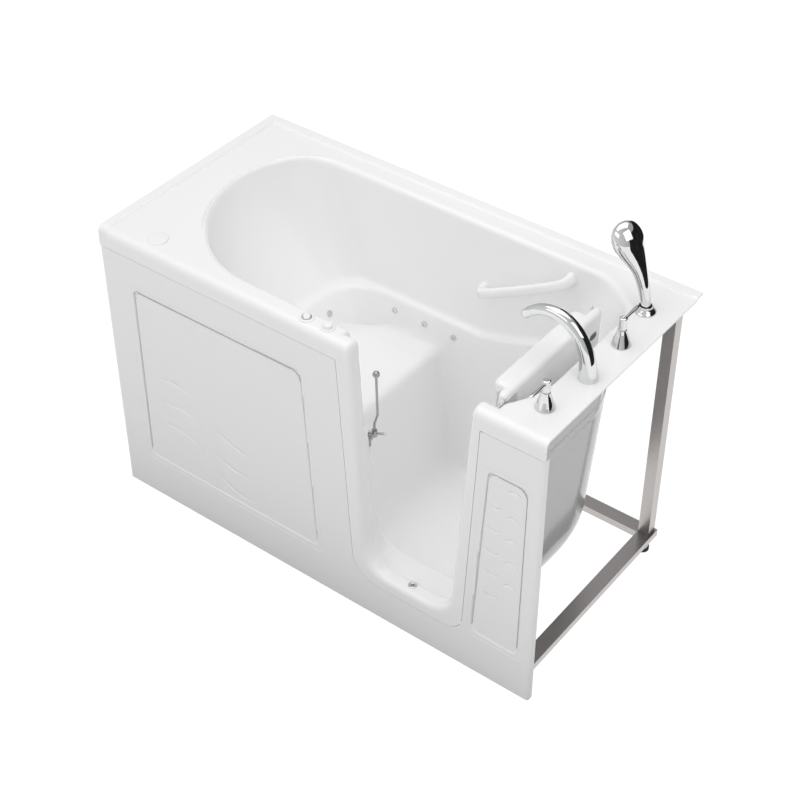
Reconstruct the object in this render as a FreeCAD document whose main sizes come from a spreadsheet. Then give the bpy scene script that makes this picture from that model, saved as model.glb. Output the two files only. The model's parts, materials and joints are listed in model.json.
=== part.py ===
import FreeCAD, Part
import Sketcher
import PartDesign
import math
import os
from FreeCAD import Vector as V, Rotation, Placement

# Walk-in air tub: a moulded tub on a steel frame, with a door that opens
# inwards, a one-piece front skirt, deck filler, hand shower and air jets.
# Working axes: x from the left end, y from the front face, z from the floor.
# The finished pieces are set about the centre of the base.

doc = FreeCAD.newDocument("walk_in_air_tub")

# ---------------------------------------------------------------- dimensions
DIMS = [
    # overall
    ("length", 1524), ("width", 762), ("deck_top", 963), ("skin", 6),
    ("lip_rise", 6), ("lip_wide", 30), ("apron_low", 904),
    # basin
    ("rim_left", 163), ("rim_right", 1406), ("rim_front", 68), ("rim_back", 672),
    ("mid_z", 780), ("mid_left", 248), ("mid_right", 1396), ("mid_front", 79), ("mid_back", 661),
    ("ledge_z", 600), ("ledge_left", 382), ("ledge_right", 1386), ("ledge_front", 90), ("ledge_back", 650),
    ("well_left", 400), ("well_front", 110), ("well_back", 630),
    ("seat_z", 490), ("seat_left", 475), ("riser_top", 745), ("riser_foot", 825),
    ("floor_z", 80), ("floor_right", 1358), ("floor_front", 139), ("floor_back", 604), ("heel_round", 150),
    # door opening
    ("sill_z", 170), ("slot_left", 905), ("slot_right", 1300),
    ("taper_left", 0.058), ("taper_right", 0.068),
    ("rebate_left", 861), ("rebate_right", 1351), ("jamb_depth", 52), ("rebate_drop", 8),
    ("slot_corner", 60), ("surround_round_left", 90), ("surround_round_right", 60), ("surround_left", 864), ("surround_right", 1328), ("surround_low", 128),
    # skirt
    ("panel_gap", 2), ("panel_thick", 5), ("panel_low", 4), ("panel_return", 20),
    ("groove_wide", 5), ("groove_deep", 2),
    ("field_left", 112), ("field_right_top", 741), ("field_right_low", 775),
    ("field_low", 157), ("field_top", 793),
    ("side_left_top", 1358), ("side_left_low", 1324), ("side_right", 1479),
    ("side_low", 160), ("side_top", 781),
    # frame
    ("rail_wide", 46), ("rail_tall", 24), ("rail_top", 60), ("tube_wall", 2),
    ("rail_inset", 36), ("rail_front", 22), ("rail_back", 8),
    ("post_size", 36), ("post_inset", 44), ("post_front", 26), ("post_back", 14),
    ("pad_radius", 20), ("pad_tall", 10), ("stud_radius", 6),
    # door
    ("hinge_x", 1337), ("hinge_y", 77), ("door_outer", 1280), ("door_step", 1316), ("door_inner", 1344),
    ("flange_near", 87), ("flange_far", 548), ("flange_low", 166),
    ("plug_near", 121), ("plug_far", 501), ("plug_low", 176),
    ("seal_thick", 3.5), ("seal_wide", 12),
    ("knuckle_radius", 8), ("pin_radius", 4), ("run_gap", 0.05), ("hinge_tall", 80),
    # latch
    ("latch_x", 866), ("latch_y", 131), ("latch_z", 527), ("lever_x", 859), ("lever_y", 168),
    ("latch_eye", 8), ("rod_radius", 3.6), ("ball_radius", 10.5), ("ball_z", 746),
    # deck fittings
    ("spout_x", 1467.5), ("spout_y", 275), ("hot_x", 1443.5), ("hot_y", 115),
    ("cold_x", 1461), ("cold_y", 444), ("shower_x", 1437.5), ("shower_y", 604),
    ("base_radius", 27.5), ("base_tall", 50), ("hub_radius", 11), ("hub_tall", 36),
    ("spindle_radius", 6), ("handle_reach", 70), ("supply_radius", 10.5),
    ("cap_x", 176), ("cap_y", 62), ("cap_radius", 31),
    ("button_x", 739), ("knob_x", 811), ("controls_y", 37),
    ("ring_radius", 22), ("button_radius", 13), ("knob_radius", 14), ("travel_room", 0.3),
    # air system
    ("jet_z", 554), ("jet_first", 580), ("jet_second", 693), ("jet_third", 801),
    ("jet_radius", 10.5), ("jet_barrel", 9), ("back_jet_y", 494), ("back_jet_twin", 246),
    ("pipe_radius", 17), ("pipe_y", 700), ("riser_x", 366), ("branch_z", 511),
    ("blower_x", 306), ("blower_y", 381), ("blower_radius", 95), ("blower_tall", 110),
    ("impeller_radius", 72), ("shaft_radius", 5), ("motor_radius", 58), ("motor_tall", 105),
    # waste
    ("drain_x", 1080), ("drain_y", 370), ("drain_radius", 38), ("stopper_radius", 19),
    ("waste_radius", 19), ("weep_x", 1097), ("weep_y", 34),
]

sheet = doc.addObject("Spreadsheet::Sheet", "dims")
for row, (name, value) in enumerate(DIMS, 1):
    sheet.set("A%d" % row, name)
    sheet.set("B%d" % row, str(value))
    sheet.setAlias("B%d" % row, name)
doc.recompute()


class Size:
    """A number of the sheet, or a sum of them, with the formula that gives it."""

    def __init__(self, number, formula):
        self.v = float(number)
        self.f = formula

    @staticmethod
    def of(other):
        return other if isinstance(other, Size) else Size(other, "(%s)" % repr(float(other)))

    def __add__(self, other):
        other = Size.of(other)
        return Size(self.v + other.v, "(%s + %s)" % (self.f, other.f))

    def __radd__(self, other):
        return Size.of(other) + self

    def __sub__(self, other):
        other = Size.of(other)
        return Size(self.v - other.v, "(%s - %s)" % (self.f, other.f))

    def __rsub__(self, other):
        return Size.of(other) - self

    def __mul__(self, other):
        other = Size.of(other)
        return Size(self.v * other.v, "(%s * %s)" % (self.f, other.f))

    def __rmul__(self, other):
        return Size.of(other) * self

    def __truediv__(self, other):
        other = Size.of(other)
        return Size(self.v / other.v, "(%s / %s)" % (self.f, other.f))

    def __neg__(self):
        return Size(-self.v, "(0 - %s)" % self.f)


class Sheet:
    def __getattr__(self, name):
        return Size(float(sheet.get(name)), "dims." + name)


d = Sheet()
PARTS = []
serial = [0]


def fresh(stem):
    serial[0] += 1
    return "%s_%03d" % (stem, serial[0])


def keep(obj, label):
    obj.Label = label
    PARTS.append(obj)
    return obj


def bind(obj, path, size):
    obj.setExpression(path, Size.of(size).f)


def place(obj, x, y, z, rot=None):
    obj.Placement = Placement(V(0, 0, 0), rot or Rotation())
    bind(obj, "Placement.Base.x", Size.of(x) - d.length / 2)
    bind(obj, "Placement.Base.y", Size.of(y) - d.width / 2)
    bind(obj, "Placement.Base.z", Size.of(z))
    return obj


def box(x, y, z, dx, dy, dz, rot=None):
    o = doc.addObject("Part::Box", fresh("box"))
    bind(o, "Length", dx)
    bind(o, "Width", dy)
    bind(o, "Height", dz)
    return place(o, x, y, z, rot)


def toward(direction):
    return Rotation(V(0, 0, 1), V(*direction))


def cyl(x, y, z, radius, tall, direction=(0, 0, 1)):
    o = doc.addObject("Part::Cylinder", fresh("cyl"))
    bind(o, "Radius", radius)
    bind(o, "Height", tall)
    return place(o, x, y, z, toward(direction))


def cone(x, y, z, r0, r1, tall, direction=(0, 0, 1)):
    o = doc.addObject("Part::Cone", fresh("cone"))
    bind(o, "Radius1", r0)
    bind(o, "Radius2", r1)
    bind(o, "Height", tall)
    return place(o, x, y, z, toward(direction))


def ball(x, y, z, radius):
    o = doc.addObject("Part::Sphere", fresh("ball"))
    bind(o, "Radius", radius)
    return place(o, x, y, z)


def prism(x, y, z, sides, radius, tall):
    o = doc.addObject("Part::Prism", fresh("prism"))
    o.Polygon = sides
    bind(o, "Circumradius", radius)
    bind(o, "Height", tall)
    return place(o, x, y, z)


def cut(base, *tools):
    o = doc.addObject("Part::Cut", fresh("cut"))
    o.Base = base
    if len(tools) == 1:
        o.Tool = tools[0]
    else:
        o.Tool = fuse(*tools)
    return o


def fuse(*shapes):
    o = doc.addObject("Part::MultiFuse", fresh("fuse"))
    o.Shapes = list(shapes)
    return o


def group(*shapes):
    o = doc.addObject("Part::Compound", fresh("group"))
    o.Links = list(shapes)
    return o


def solid(label, shape):
    """A piece whose shape is worked out from the sheet in working axes."""
    o = doc.addObject("Part::Feature", fresh("solid"))
    o.Shape = shape
    o.Placement = Placement(V(-d.length.v / 2, -d.width.v / 2, 0), Rotation())
    if label:
        keep(o, label)
    return o


def plane_of(body, role):
    return [f for f in body.Origin.OriginFeatures if f.Role == role][0]


def outline(body, role, points, name=None):
    """A closed sketch of straight lines, every corner set from the sheet."""
    sk = body.newObject("Sketcher::SketchObject", fresh("sketch"))
    sk.AttachmentSupport = [(plane_of(body, role), "")]
    sk.MapMode = "FlatFace"
    trace(sk, points)
    return sk


def trace(sk, points):
    first = sk.GeometryCount
    pts = [(Size.of(a), Size.of(b)) for a, b in points]
    n = len(pts)
    for i in range(n):
        a, b = pts[i], pts[(i + 1) % n]
        sk.addGeometry(Part.LineSegment(V(a[0].v, a[1].v, 0), V(b[0].v, b[1].v, 0)), False)
    for i in range(n):
        sk.addConstraint(Sketcher.Constraint("Coincident", first + i, 2, first + (i + 1) % n, 1))
    for i, (a, b) in enumerate(pts):
        if abs(a.v) < 1e-9:
            sk.addConstraint(Sketcher.Constraint("PointOnObject", first + i, 1, -2))
        else:
            k = sk.addConstraint(Sketcher.Constraint("DistanceX", -1, 1, first + i, 1, a.v))
            sk.setExpression("Constraints[%d]" % k, a.f)
        if abs(b.v) < 1e-9:
            sk.addConstraint(Sketcher.Constraint("PointOnObject", first + i, 1, -1))
        else:
            k = sk.addConstraint(Sketcher.Constraint("DistanceY", -1, 1, first + i, 1, b.v))
            sk.setExpression("Constraints[%d]" % k, b.f)


def turned(label, points, x, y, z, rot=None):
    """A lathe piece: (radius, height) corners spun about its own upright axis."""
    body = doc.addObject("PartDesign::Body", fresh("body"))
    sk = outline(body, "XZ_Plane", points)
    rev = body.newObject("PartDesign::Revolution", fresh("spin"))
    rev.Profile = sk
    rev.ReferenceAxis = (sk, ["V_Axis"])
    rev.Angle = 360
    place(body, x, y, z, rot)
    if label:
        keep(body, label)
    return body


# ---------------------------------------------------------------- tub shell
def edge(a, b):
    return Part.LineSegment(a, b).toShape()


def quarter(cx, cy, a, b, start, z):
    pts = []
    for i in range(9):
        t = math.radians(start + 90.0 * i / 8)
        pts.append(V(cx + a * math.cos(t), cy + b * math.sin(t), z))
    curve = Part.BSplineCurve()
    curve.interpolate(pts)
    return curve.toShape()


def ring(z, xl, xr, yf, yb, fl, bl, cf, cb, grow):
    """Plan outline of the basin at one height: two curved corners at the left,
    two flats across the corners at the right."""
    xl, xr, yf, yb = xl - grow, xr + grow, yf - grow, yb + grow
    fl = (fl[0] + grow, fl[1] + grow)
    bl = (bl[0] + grow, bl[1] + grow)
    p = [V(xl + fl[0], yf, z), V(xr - cf[0], yf, z), V(xr, yf + cf[1], z), V(xr, yb - cb[1], z),
         V(xr - cb[0], yb, z), V(xl + bl[0], yb, z), V(xl, yb - bl[1], z), V(xl, yf + fl[1], z)]
    return Part.Wire([
        edge(p[0], p[1]), edge(p[1], p[2]), edge(p[2], p[3]), edge(p[3], p[4]), edge(p[4], p[5]),
        quarter(xl + bl[0], yb - bl[1], bl[0], bl[1], 90, z),
        edge(p[6], p[7]),
        quarter(xl + fl[0], yf + fl[1], fl[0], fl[1], 180, z)])


def slab(points, y0, y1, radii):
    """Upright outline in x and z, rounded at the corners that have a radius."""
    n = len(points)
    edges, ends = [], []
    for i in range(n):
        q, p, r = V(*points[i - 1]), V(*points[i]), V(*points[(i + 1) % n])
        rad = radii.get(i, 0)
        if not rad:
            ends.append((p, p, None))
            continue
        a = (q - p).normalize()
        b = (r - p).normalize()
        half = a.getAngle(b) / 2
        back = rad / math.tan(half)
        mid = (a + b).normalize()
        ends.append((p + a * back, p + b * back, p + mid * (rad / math.sin(half) - rad)))
    for i in range(n):
        p_in, p_out, mid = ends[i]
        if mid is not None:
            edges.append(Part.Arc(p_in, mid, p_out).toShape())
        edges.append(edge(p_out, ends[(i + 1) % n][0]))
    face = Part.Face(Part.Wire(edges))
    face.translate(V(0, y0, 0))
    return face.extrude(V(0, y1 - y0, 0))


TOP = d.deck_top.v
WALL_SLOPE_B = (d.well_back.v - d.floor_back.v) / (d.ledge_z.v - d.floor_z.v)
WALL_SLOPE_F = (d.floor_front.v - d.well_front.v) / (d.ledge_z.v - d.floor_z.v)


def back_wall(z):
    return d.well_back.v - (d.ledge_z.v - z) * WALL_SLOPE_B


def front_wall(z):
    return d.well_front.v + (d.ledge_z.v - z) * WALL_SLOPE_F


def left_edge(base, z):
    return base + d.taper_left.v * (TOP - z)


def right_edge(base, z):
    return base - d.taper_right.v * (TOP - z)


def hollows(g):
    """The basin, seat well, foot well, door slot and door rebate, grown by g."""
    high = TOP if g else TOP + 12
    mid_y0, mid_y1 = 415 - d.rim_front.v, d.rim_back.v - 445
    rim = dict(xl=d.rim_left.v, xr=d.rim_right.v, yf=d.rim_front.v, yb=d.rim_back.v,
               fl=(337, mid_y0), bl=(162, mid_y1), cf=(54, 97), cb=(121, 82), grow=g)
    upper = Part.makeLoft([
        ring(high, **rim),
        ring(TOP - 14, **rim),
        ring(d.mid_z.v, d.mid_left.v, d.mid_right.v, d.mid_front.v, d.mid_back.v,
             (255, 255), (150, 190), (44, 78), (175, 127.5), g),
        ring(d.ledge_z.v - g, d.ledge_left.v, d.ledge_right.v, d.ledge_front.v, d.ledge_back.v,
             (110, 120), (110, 120), (34, 60), (186, 135), g)], True, True)
    z0 = d.ledge_z.v + 2
    zs = d.seat_z.v
    tilt = (d.seat_left.v - d.well_left.v) / (d.ledge_z.v - zs)
    well = Part.makeLoft([
        ring(z0, d.well_left.v - 2 * tilt, d.riser_top.v + 45, front_wall(z0), back_wall(z0),
             (92, 100), (92, 100), (3, 3), (3, 3), g),
        ring(zs - g, d.seat_left.v + g * tilt, d.riser_top.v + 45, front_wall(zs - g), back_wall(zs - g),
             (70, 80), (70, 80), (3, 3), (3, 3), g)], True, True)
    zf = d.floor_z.v
    lean = (d.riser_foot.v - d.riser_top.v) / (zs - zf)
    riser = lambda z: d.riser_top.v + (zs - z) * lean
    foot = Part.makeLoft([
        ring(z0, riser(z0), d.ledge_right.v, front_wall(z0), back_wall(z0),
             (40, 40), (50, 50), (35, 50), (140, 115), g),
        ring(zf - g, riser(zf - g), d.floor_right.v, front_wall(zf - g), back_wall(zf - g),
             (50, 50), (60, 60), (7, 14), (100, 110), g)], True, True)
    # the right wall runs into the floor in one large round
    heel_r = d.heel_round.v
    heel_z = zf + heel_r
    heel_x = d.ledge_right.v - (d.ledge_z.v - heel_z) * (d.ledge_right.v - d.floor_right.v) / (d.ledge_z.v - zf) - heel_r
    heel = Part.makeBox(600, 1200, heel_z + 50, V(heel_x, -200, -50)).cut(
        Part.makeCylinder(heel_r + g, 1400, V(heel_x, -300, heel_z), V(0, 1, 0)))
    foot = foot.cut(heel)
    deep = 150
    zl = d.sill_z.v - g
    slot = slab([(left_edge(d.slot_left.v, high) - g, 0, high), (left_edge(d.slot_left.v, zl) - g, 0, zl),
                 (right_edge(d.slot_right.v, zl) + g, 0, zl), (right_edge(d.slot_right.v, high) + g, 0, high)],
                0 if g else -1, deep, {1: d.slot_corner.v + g, 2: d.slot_corner.v + g})
    zr = d.sill_z.v - d.rebate_drop.v - g
    rebate = slab([(left_edge(d.rebate_left.v, high) - g, 0, high), (left_edge(d.rebate_left.v, zr) - g, 0, zr),
                   (d.rebate_right.v + g, 0, zr), (d.rebate_right.v + g, 0, high)],
                  d.jamb_depth.v - g, deep - 1, {})
    return [upper, well, foot, slot, rebate]


inside = hollows(0)
outside = hollows(d.skin.v)
L, W, T = d.length.v, d.width.v, d.skin.v
deck = Part.makeBox(L, W, T, V(0, 0, TOP - T))
lip_left = Part.makeBox(d.lip_wide.v, W, d.lip_rise.v, V(0, 0, TOP))
lip_back = Part.makeBox(L, d.lip_wide.v, d.lip_rise.v, V(0, W - d.lip_wide.v, TOP))
low = d.surround_low.v
apron = slab([(0, 0, TOP), (0, 0, d.apron_low.v), (d.surround_left.v, 0, d.apron_low.v),
              (left_edge(d.surround_left.v, low), 0, low), (right_edge(d.surround_right.v, low) + 18, 0, low),
              (d.surround_right.v, 0, d.apron_low.v), (L, 0, d.apron_low.v), (L, 0, TOP)],
             0, T, {3: d.surround_round_left.v, 4: d.surround_round_right.v})


def bore(x, y, z, radius, tall, direction=(0, 0, 1)):
    return Part.makeCylinder(radius, tall, V(x, y, z), V(*direction))


back_lean = math.atan(WALL_SLOPE_B)
rest_tilt = math.atan((d.seat_left.v - d.well_left.v) / (d.ledge_z.v - d.seat_z.v))
end_lean = math.atan((d.rim_right.v - d.floor_right.v) / (TOP - d.floor_z.v))
JET_DIR = (0, math.cos(back_lean), -math.sin(back_lean))
REST_DIR = (-math.cos(rest_tilt), 0, -math.sin(rest_tilt))
END_DIR = (1, 0, 0)


def rest_x(z):
    return d.well_left.v + (d.ledge_z.v - z) * math.tan(rest_tilt)


def end_x(z):
    """Inner face of the right end wall above the ledge."""
    if z > d.mid_z.v:
        k = (z - d.mid_z.v) / (TOP - 14 - d.mid_z.v)
        return d.mid_right.v + k * (d.rim_right.v - d.mid_right.v)
    k = (z - d.ledge_z.v) / (d.mid_z.v - d.ledge_z.v)
    return d.ledge_right.v + k * (d.mid_right.v - d.ledge_right.v)


def upper_back(z):
    if z > d.mid_z.v:
        k = (z - d.mid_z.v) / (TOP - 14 - d.mid_z.v)
        return d.mid_back.v + k * (d.rim_back.v - d.mid_back.v)
    k = (z - d.ledge_z.v) / (d.mid_z.v - d.ledge_z.v)
    return d.ledge_back.v + k * (d.mid_back.v - d.ledge_back.v)


JETS = [(d.jet_first.v, back_wall(d.jet_z.v), d.jet_z.v, JET_DIR),
        (d.jet_second.v, back_wall(d.jet_z.v), d.jet_z.v, JET_DIR),
        (d.jet_third.v, back_wall(d.jet_z.v), d.jet_z.v, JET_DIR),
        (rest_x(d.jet_z.v), d.back_jet_y.v, d.jet_z.v, REST_DIR),
        (rest_x(d.jet_z.v), d.back_jet_twin.v, d.jet_z.v, REST_DIR)]
holes = []
for jx, jy, jz, jd in JETS:
    holes.append(bore(jx - 30 * jd[0], jy - 30 * jd[1], jz - 30 * jd[2], d.jet_barrel.v + 0.3, 60, jd))
for hx, hy, hr in ((d.spout_x.v, d.spout_y.v, 17), (d.hot_x.v, d.hot_y.v, 16), (d.cold_x.v, d.cold_y.v, 16),
                   (d.shower_x.v, d.shower_y.v, 17), (d.cap_x.v, d.cap_y.v, 23.5),
                   (d.button_x.v, d.controls_y.v, 16), (d.knob_x.v, d.controls_y.v, 11.4)):
    holes.append(bore(hx, hy, TOP - 20, hr, 30))
holes.append(bore(d.drain_x.v, d.drain_y.v, d.floor_z.v - 20, 27, 40))
holes.append(bore(d.weep_x.v, d.weep_y.v, d.sill_z.v - 20, 10, 40))
shell = outside[0].fuse(outside[1:] + [deck, lip_left, lip_back, apron])
shell = shell.cut(inside)
shell = shell.cut(holes)
shell = shell.removeSplitter()


def cell(x0, y0, z0, x1, y1, z1):
    return Part.makeBox(x1 - x0, y1 - y0, z1 - z0, V(x0, y0, z0))


# The one moulding is kept as five pieces, each a group of wall panels that
# meet edge to edge, so that every wall can be handled as a thin plate.
FAR = 2000
deck_low = TOP - d.skin.v
ledge_low = d.ledge_z.v - d.skin.v
seat_low = d.seat_z.v - d.skin.v
foot_low = d.floor_z.v + 6
jamb_cut = 60
slot_l, slot_r = d.rebate_left.v + 4, 1285
REGIONS = [
    ("tub_shell_deck", cell(-10, -10, deck_low, FAR, FAR, FAR), [
        (-10, -10, 330, 250), (-10, 250, 330, 430), (-10, 430, 330, 600), (-10, 600, 330, FAR),
        (330, -10, 500, 372), (330, 372, 500, FAR),
        (500, -10, slot_l, 372), (500, 372, slot_l, FAR), (slot_l, -10, 1100, 372), (1100, -10, slot_r, 372), (slot_l, 372, slot_r, FAR),
        (slot_r, -10, 1352, 166), (1352, -10, FAR, 166), (slot_r, 166, FAR, 400), (slot_r, 400, FAR, 588), (slot_r, 588, FAR, FAR)], None),
    ("tub_shell_door_surround", cell(-10, -10, 0, FAR, jamb_cut, deck_low), [
        (-10, -10, FAR, 6), (-10, 6, FAR, 46), (-10, 46, FAR, FAR)], (260, 560, slot_l, 952, 1240, slot_r)),
    ("tub_shell_walls", cell(-10, jamb_cut, ledge_low, FAR, FAR, deck_low), [
        (-10, -10, 250, 250), (-10, 250, 250, 372), (-10, 372, 250, 500), (-10, 500, 250, FAR),
        (250, -10, 330, 200), (250, 200, 330, 372), (250, 372, 330, 560), (250, 560, 330, FAR),
        (330, -10, 500, 150), (330, 150, 500, 372), (330, 372, 500, 600), (330, 600, 500, FAR),
        (500, -10, slot_l, 372), (500, 372, slot_l, FAR), (slot_l, -10, 1100, 372), (1100, -10, slot_r, 372), (slot_l, 372, 1205, FAR), (1205, 372, slot_r, FAR),
        (slot_r, -10, 1352, 166), (1352, -10, FAR, 166), (slot_r, 166, FAR, 400), (slot_r, 400, FAR, 528), (slot_r, 528, FAR, FAR)],
     (ledge_low + 6.05, d.mid_z.v)),
    ("tub_shell_seat", cell(-10, jamb_cut, seat_low, d.riser_top.v - 3, FAR, ledge_low), [
        (-10, -10, 478, 180), (-10, 180, 478, 560), (-10, 560, 478, FAR), (478, -10, FAR, 160), (478, 160, FAR, 372), (478, 372, FAR, 596), (478, 596, FAR, FAR)],
     (d.seat_z.v + 0.05,)),
]


def panes(shape, plans, levels):
    """Cut a piece of the moulding into its flat panels."""
    cells = []
    marks = [0] + list(levels or ()) + [FAR]
    for low, high in zip(marks, marks[1:]):
        for x0, y0, x1, y1 in plans:
            cells.append(cell(x0, y0, low, x1, y1, high))
    found = []
    for c in cells:
        hit = shape.common(c)
        found += [q for q in hit.Solids if q.Volume > 1.0]
    return found


whole = shell.Volume
total = 0.0
rest = shell
surround_x = None
for name, region, plans, levels in REGIONS:
    part_ = rest.common(region)
    rest = rest.cut(region)
    if name == "tub_shell_door_surround":
        cuts_x = [-10] + list(levels) + [FAR]
        bits = []
        for x0, x1 in zip(cuts_x, cuts_x[1:]):
            for _, y0, _, y1 in plans:
                hit = part_.common(cell(x0, y0, 0, x1, y1, 236)).Solids + part_.common(cell(x0, y0, 236, x1, y1, FAR)).Solids
                bits += [q for q in hit if q.Volume > 1.0]
    else:
        bits = panes(part_, plans, levels)
    total += sum(q.Volume for q in bits)
    print(name, len(bits), "panels")
    solid(name, Part.makeCompound(bits))
mid_x, mid_y = d.drain_x.v, d.drain_y.v
well_plans = [(-10, -10, 838, 200), (-10, 200, 838, 560), (-10, 560, 838, FAR), (838, -10, mid_x, mid_y), (mid_x, -10, slot_r, mid_y),
              (838, mid_y, mid_x, 560), (mid_x, mid_y, slot_r, 560), (838, 560, 1246, FAR), (1246, 560, slot_r, FAR),
              (slot_r, -10, FAR, 200), (slot_r, 200, FAR, 510), (slot_r, 510, FAR, FAR)]
bits = panes(rest, well_plans, (d.floor_z.v + 0.05, d.sill_z.v - 6.05, 330))
total += sum(q.Volume for q in bits)
print("tub_shell_foot_well", len(bits), "panels")
solid("tub_shell_foot_well", Part.makeCompound(bits))
print("moulding volume", round(whole), "panels", round(total))
if abs(whole - total) > whole * 0.0005:
    raise RuntimeError("the wall panels do not add up to the moulding")

# ---------------------------------------------------------------- front skirt
panel = doc.addObject("PartDesign::Body", "front_skirt")
gap = d.panel_gap
low_u = d.surround_low - gap
top_u = d.apron_low - gap
face_sk = outline(panel, "XZ_Plane", [
    (0, d.panel_low), (d.length, d.panel_low), (d.length, top_u), (d.surround_right + gap, top_u),
    (d.surround_right + gap - d.taper_right * (d.deck_top - low_u) + 18, low_u),
    (d.surround_left - gap + d.taper_left * (d.deck_top - low_u), low_u),
    (d.surround_left - gap, top_u), (0, top_u)])
pad = panel.newObject("PartDesign::Pad", "skirt_face")
pad.Profile = face_sk
bind(pad, "Length", d.panel_thick)
pad.Reversed = True
doc.recompute()
if panel.Shape.BoundBox.YMax < 1:
    pad.Reversed = False
    doc.recompute()


def upright_edges(shape, z, tol=3.0):
    found = []
    for i, e in enumerate(shape.Edges, 1):
        b = e.BoundBox
        if b.XLength < 0.01 and b.ZLength < 0.01 and b.YLength > 1 and abs(b.ZMin - z) < tol:
            found.append(("Edge%d" % i, b.XMin))
    return sorted(found, key=lambda it: it[1])


corner = [n for n, x in upright_edges(pad.Shape, low_u.v) if 800 < x < 1100]
rounder = panel.newObject("PartDesign::Fillet", "skirt_corner_left")
rounder.Base = (pad, corner)
bind(rounder, "Radius", d.surround_round_left + gap)
doc.recompute()
corner = [n for n, x in upright_edges(rounder.Shape, low_u.v) if 1150 < x < 1450]
second = panel.newObject("PartDesign::Fillet", "skirt_corner_right")
second.Base = (rounder, corner)
bind(second, "Radius", d.surround_round_right + gap)
doc.recompute()


def frame_groove(name, pts):
    """A groove that frames a field of the skirt: two outlines, one inside the other."""
    sk = outline(panel, "XZ_Plane", pts)
    w = d.groove_wide
    cx = sum(Size.of(p[0]).v for p in pts) / len(pts)
    cz = sum(Size.of(p[1]).v for p in pts) / len(pts)
    inner = []
    for a, b in pts:
        a, b = Size.of(a), Size.of(b)
        inner.append((a + w if a.v < cx else a - w, b + w if b.v < cz else b - w))
    trace(sk, inner)
    pk = panel.newObject("PartDesign::Pocket", name)
    pk.Profile = sk
    bind(pk, "Length", d.groove_deep)
    before = panel.Shape.Volume
    doc.recompute()
    if not panel.Shape.Volume < before - 10:
        pk.Reversed = not pk.Reversed
        doc.recompute()
    return pk


frame_groove("wide_field", [(d.field_left, d.field_low), (d.field_right_low, d.field_low),
                            (d.field_right_top, d.field_top), (d.field_left, d.field_top)])
frame_groove("narrow_field", [(d.side_left_low, d.side_low), (d.side_right, d.side_low),
                              (d.side_right, d.side_top), (d.side_left_top, d.side_top)])
place(panel, 0, 0, 0)
returns = fuse(panel,
               box(0, d.panel_thick, d.panel_low, d.panel_thick, d.panel_return - d.panel_thick, top_u - d.panel_low),
               box(d.length - d.panel_thick, d.panel_thick, d.panel_low,
                   d.panel_thick, d.panel_return - d.panel_thick, top_u - d.panel_low))
keep(returns, "front_panel")

# ---------------------------------------------------------------- frame
rail_low = d.rail_top - d.rail_tall
wall = d.tube_wall


def tube_y(x, y0, y1):
    return cut(box(x, y0, rail_low, d.rail_wide, y1 - y0, d.rail_tall),
               box(x + wall, y0 - 5, rail_low + wall, d.rail_wide - 2 * wall, y1 - y0 + 10, d.rail_tall - 2 * wall))


def tube_x(y, x0, x1):
    return cut(box(x0, y, rail_low, x1 - x0, d.rail_wide, d.rail_tall),
               box(x0 - 5, y + wall, rail_low + wall, x1 - x0 + 10, d.rail_wide - 2 * wall, d.rail_tall - 2 * wall))


y_front = d.rail_front
y_back = d.width - d.rail_back
right_rail = d.length - d.rail_inset - d.rail_wide
inner_l = d.rail_inset + d.rail_wide
keep(group(tube_y(d.rail_inset, y_front, y_back), tube_y(right_rail, y_front, y_back),
           tube_x(y_front, inner_l, right_rail), tube_x(y_back - d.rail_wide, inner_l, right_rail)),
     "frame_base_rails")
span_f = y_front + d.rail_wide
span_b = y_back - d.rail_wide
CROSS = (200, 370, 600, 880, 1150)
keep(group(*[tube_y(Size.of(cx), span_f, span_b) for cx in CROSS]), "frame_cross_rails")


def post(x, y, z0, z1):
    s = d.post_size
    return cut(box(x, y, z0, s, s, z1 - z0), box(x + wall, y + wall, z0 - 5, s - 2 * wall, s - 2 * wall, z1 - z0 + 10))


under_deck = d.deck_top - d.skin
px0, px1 = d.post_inset - 4, d.length - d.post_inset - d.post_size
py0, py1 = d.post_front, d.width - d.post_back - d.post_size
keep(group(post(px0, py0, d.rail_top, under_deck), post(px1, py0, d.rail_top, under_deck),
           post(px0, py1, d.rail_top, under_deck), post(px1, py1, d.rail_top, under_deck)), "frame_posts")
# under the tub: two short posts and a head rail for the seat, two bearers for the floor
under_seat = d.seat_z - d.skin
under_floor = d.floor_z - d.skin
keep(group(post(Size.of(605), Size.of(200), d.rail_top, under_seat - 36),
           post(Size.of(605), Size.of(526), d.rail_top, under_seat - 36),
           box(605, 180, under_seat - 36, 36, 402, 36),
           box(884, 180, d.rail_top, 38, 380, under_floor - d.rail_top),
           box(1154, 180, d.rail_top, 38, 380, under_floor - d.rail_top)), "tub_supports")
FEET = [(59, 60), (59, 713), (1465, 60), (1465, 713), (762, 45), (762, 731)]
pads, studs, nuts = [], [], []
for fx, fy in FEET:
    pads.append(cyl(fx, fy, 0, d.pad_radius, d.pad_tall))
    studs.append(fuse(cyl(fx, fy, d.pad_tall, d.pad_radius - 3, 4),
                      cyl(fx, fy, d.pad_tall + 4, d.stud_radius, rail_low - d.pad_tall - 4)))
    nuts.append(cut(prism(fx, fy, rail_low - 8, 6, d.stud_radius + 5, 8),
                    cyl(fx, fy, rail_low - 10, d.stud_radius + 0.1, 12)))
keep(group(*pads), "foot_pads")
keep(group(*(studs + nuts)), "foot_studs_and_nuts")
# clips that hold the skirt to the front posts
clip = []
for cx in (px0, px1):
    for cz in (180, 780):
        clip.append(box(cx + 4, d.panel_thick, cz, 28, py0 - d.panel_thick, 3))
keep(group(*clip), "panel_clips")

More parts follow.
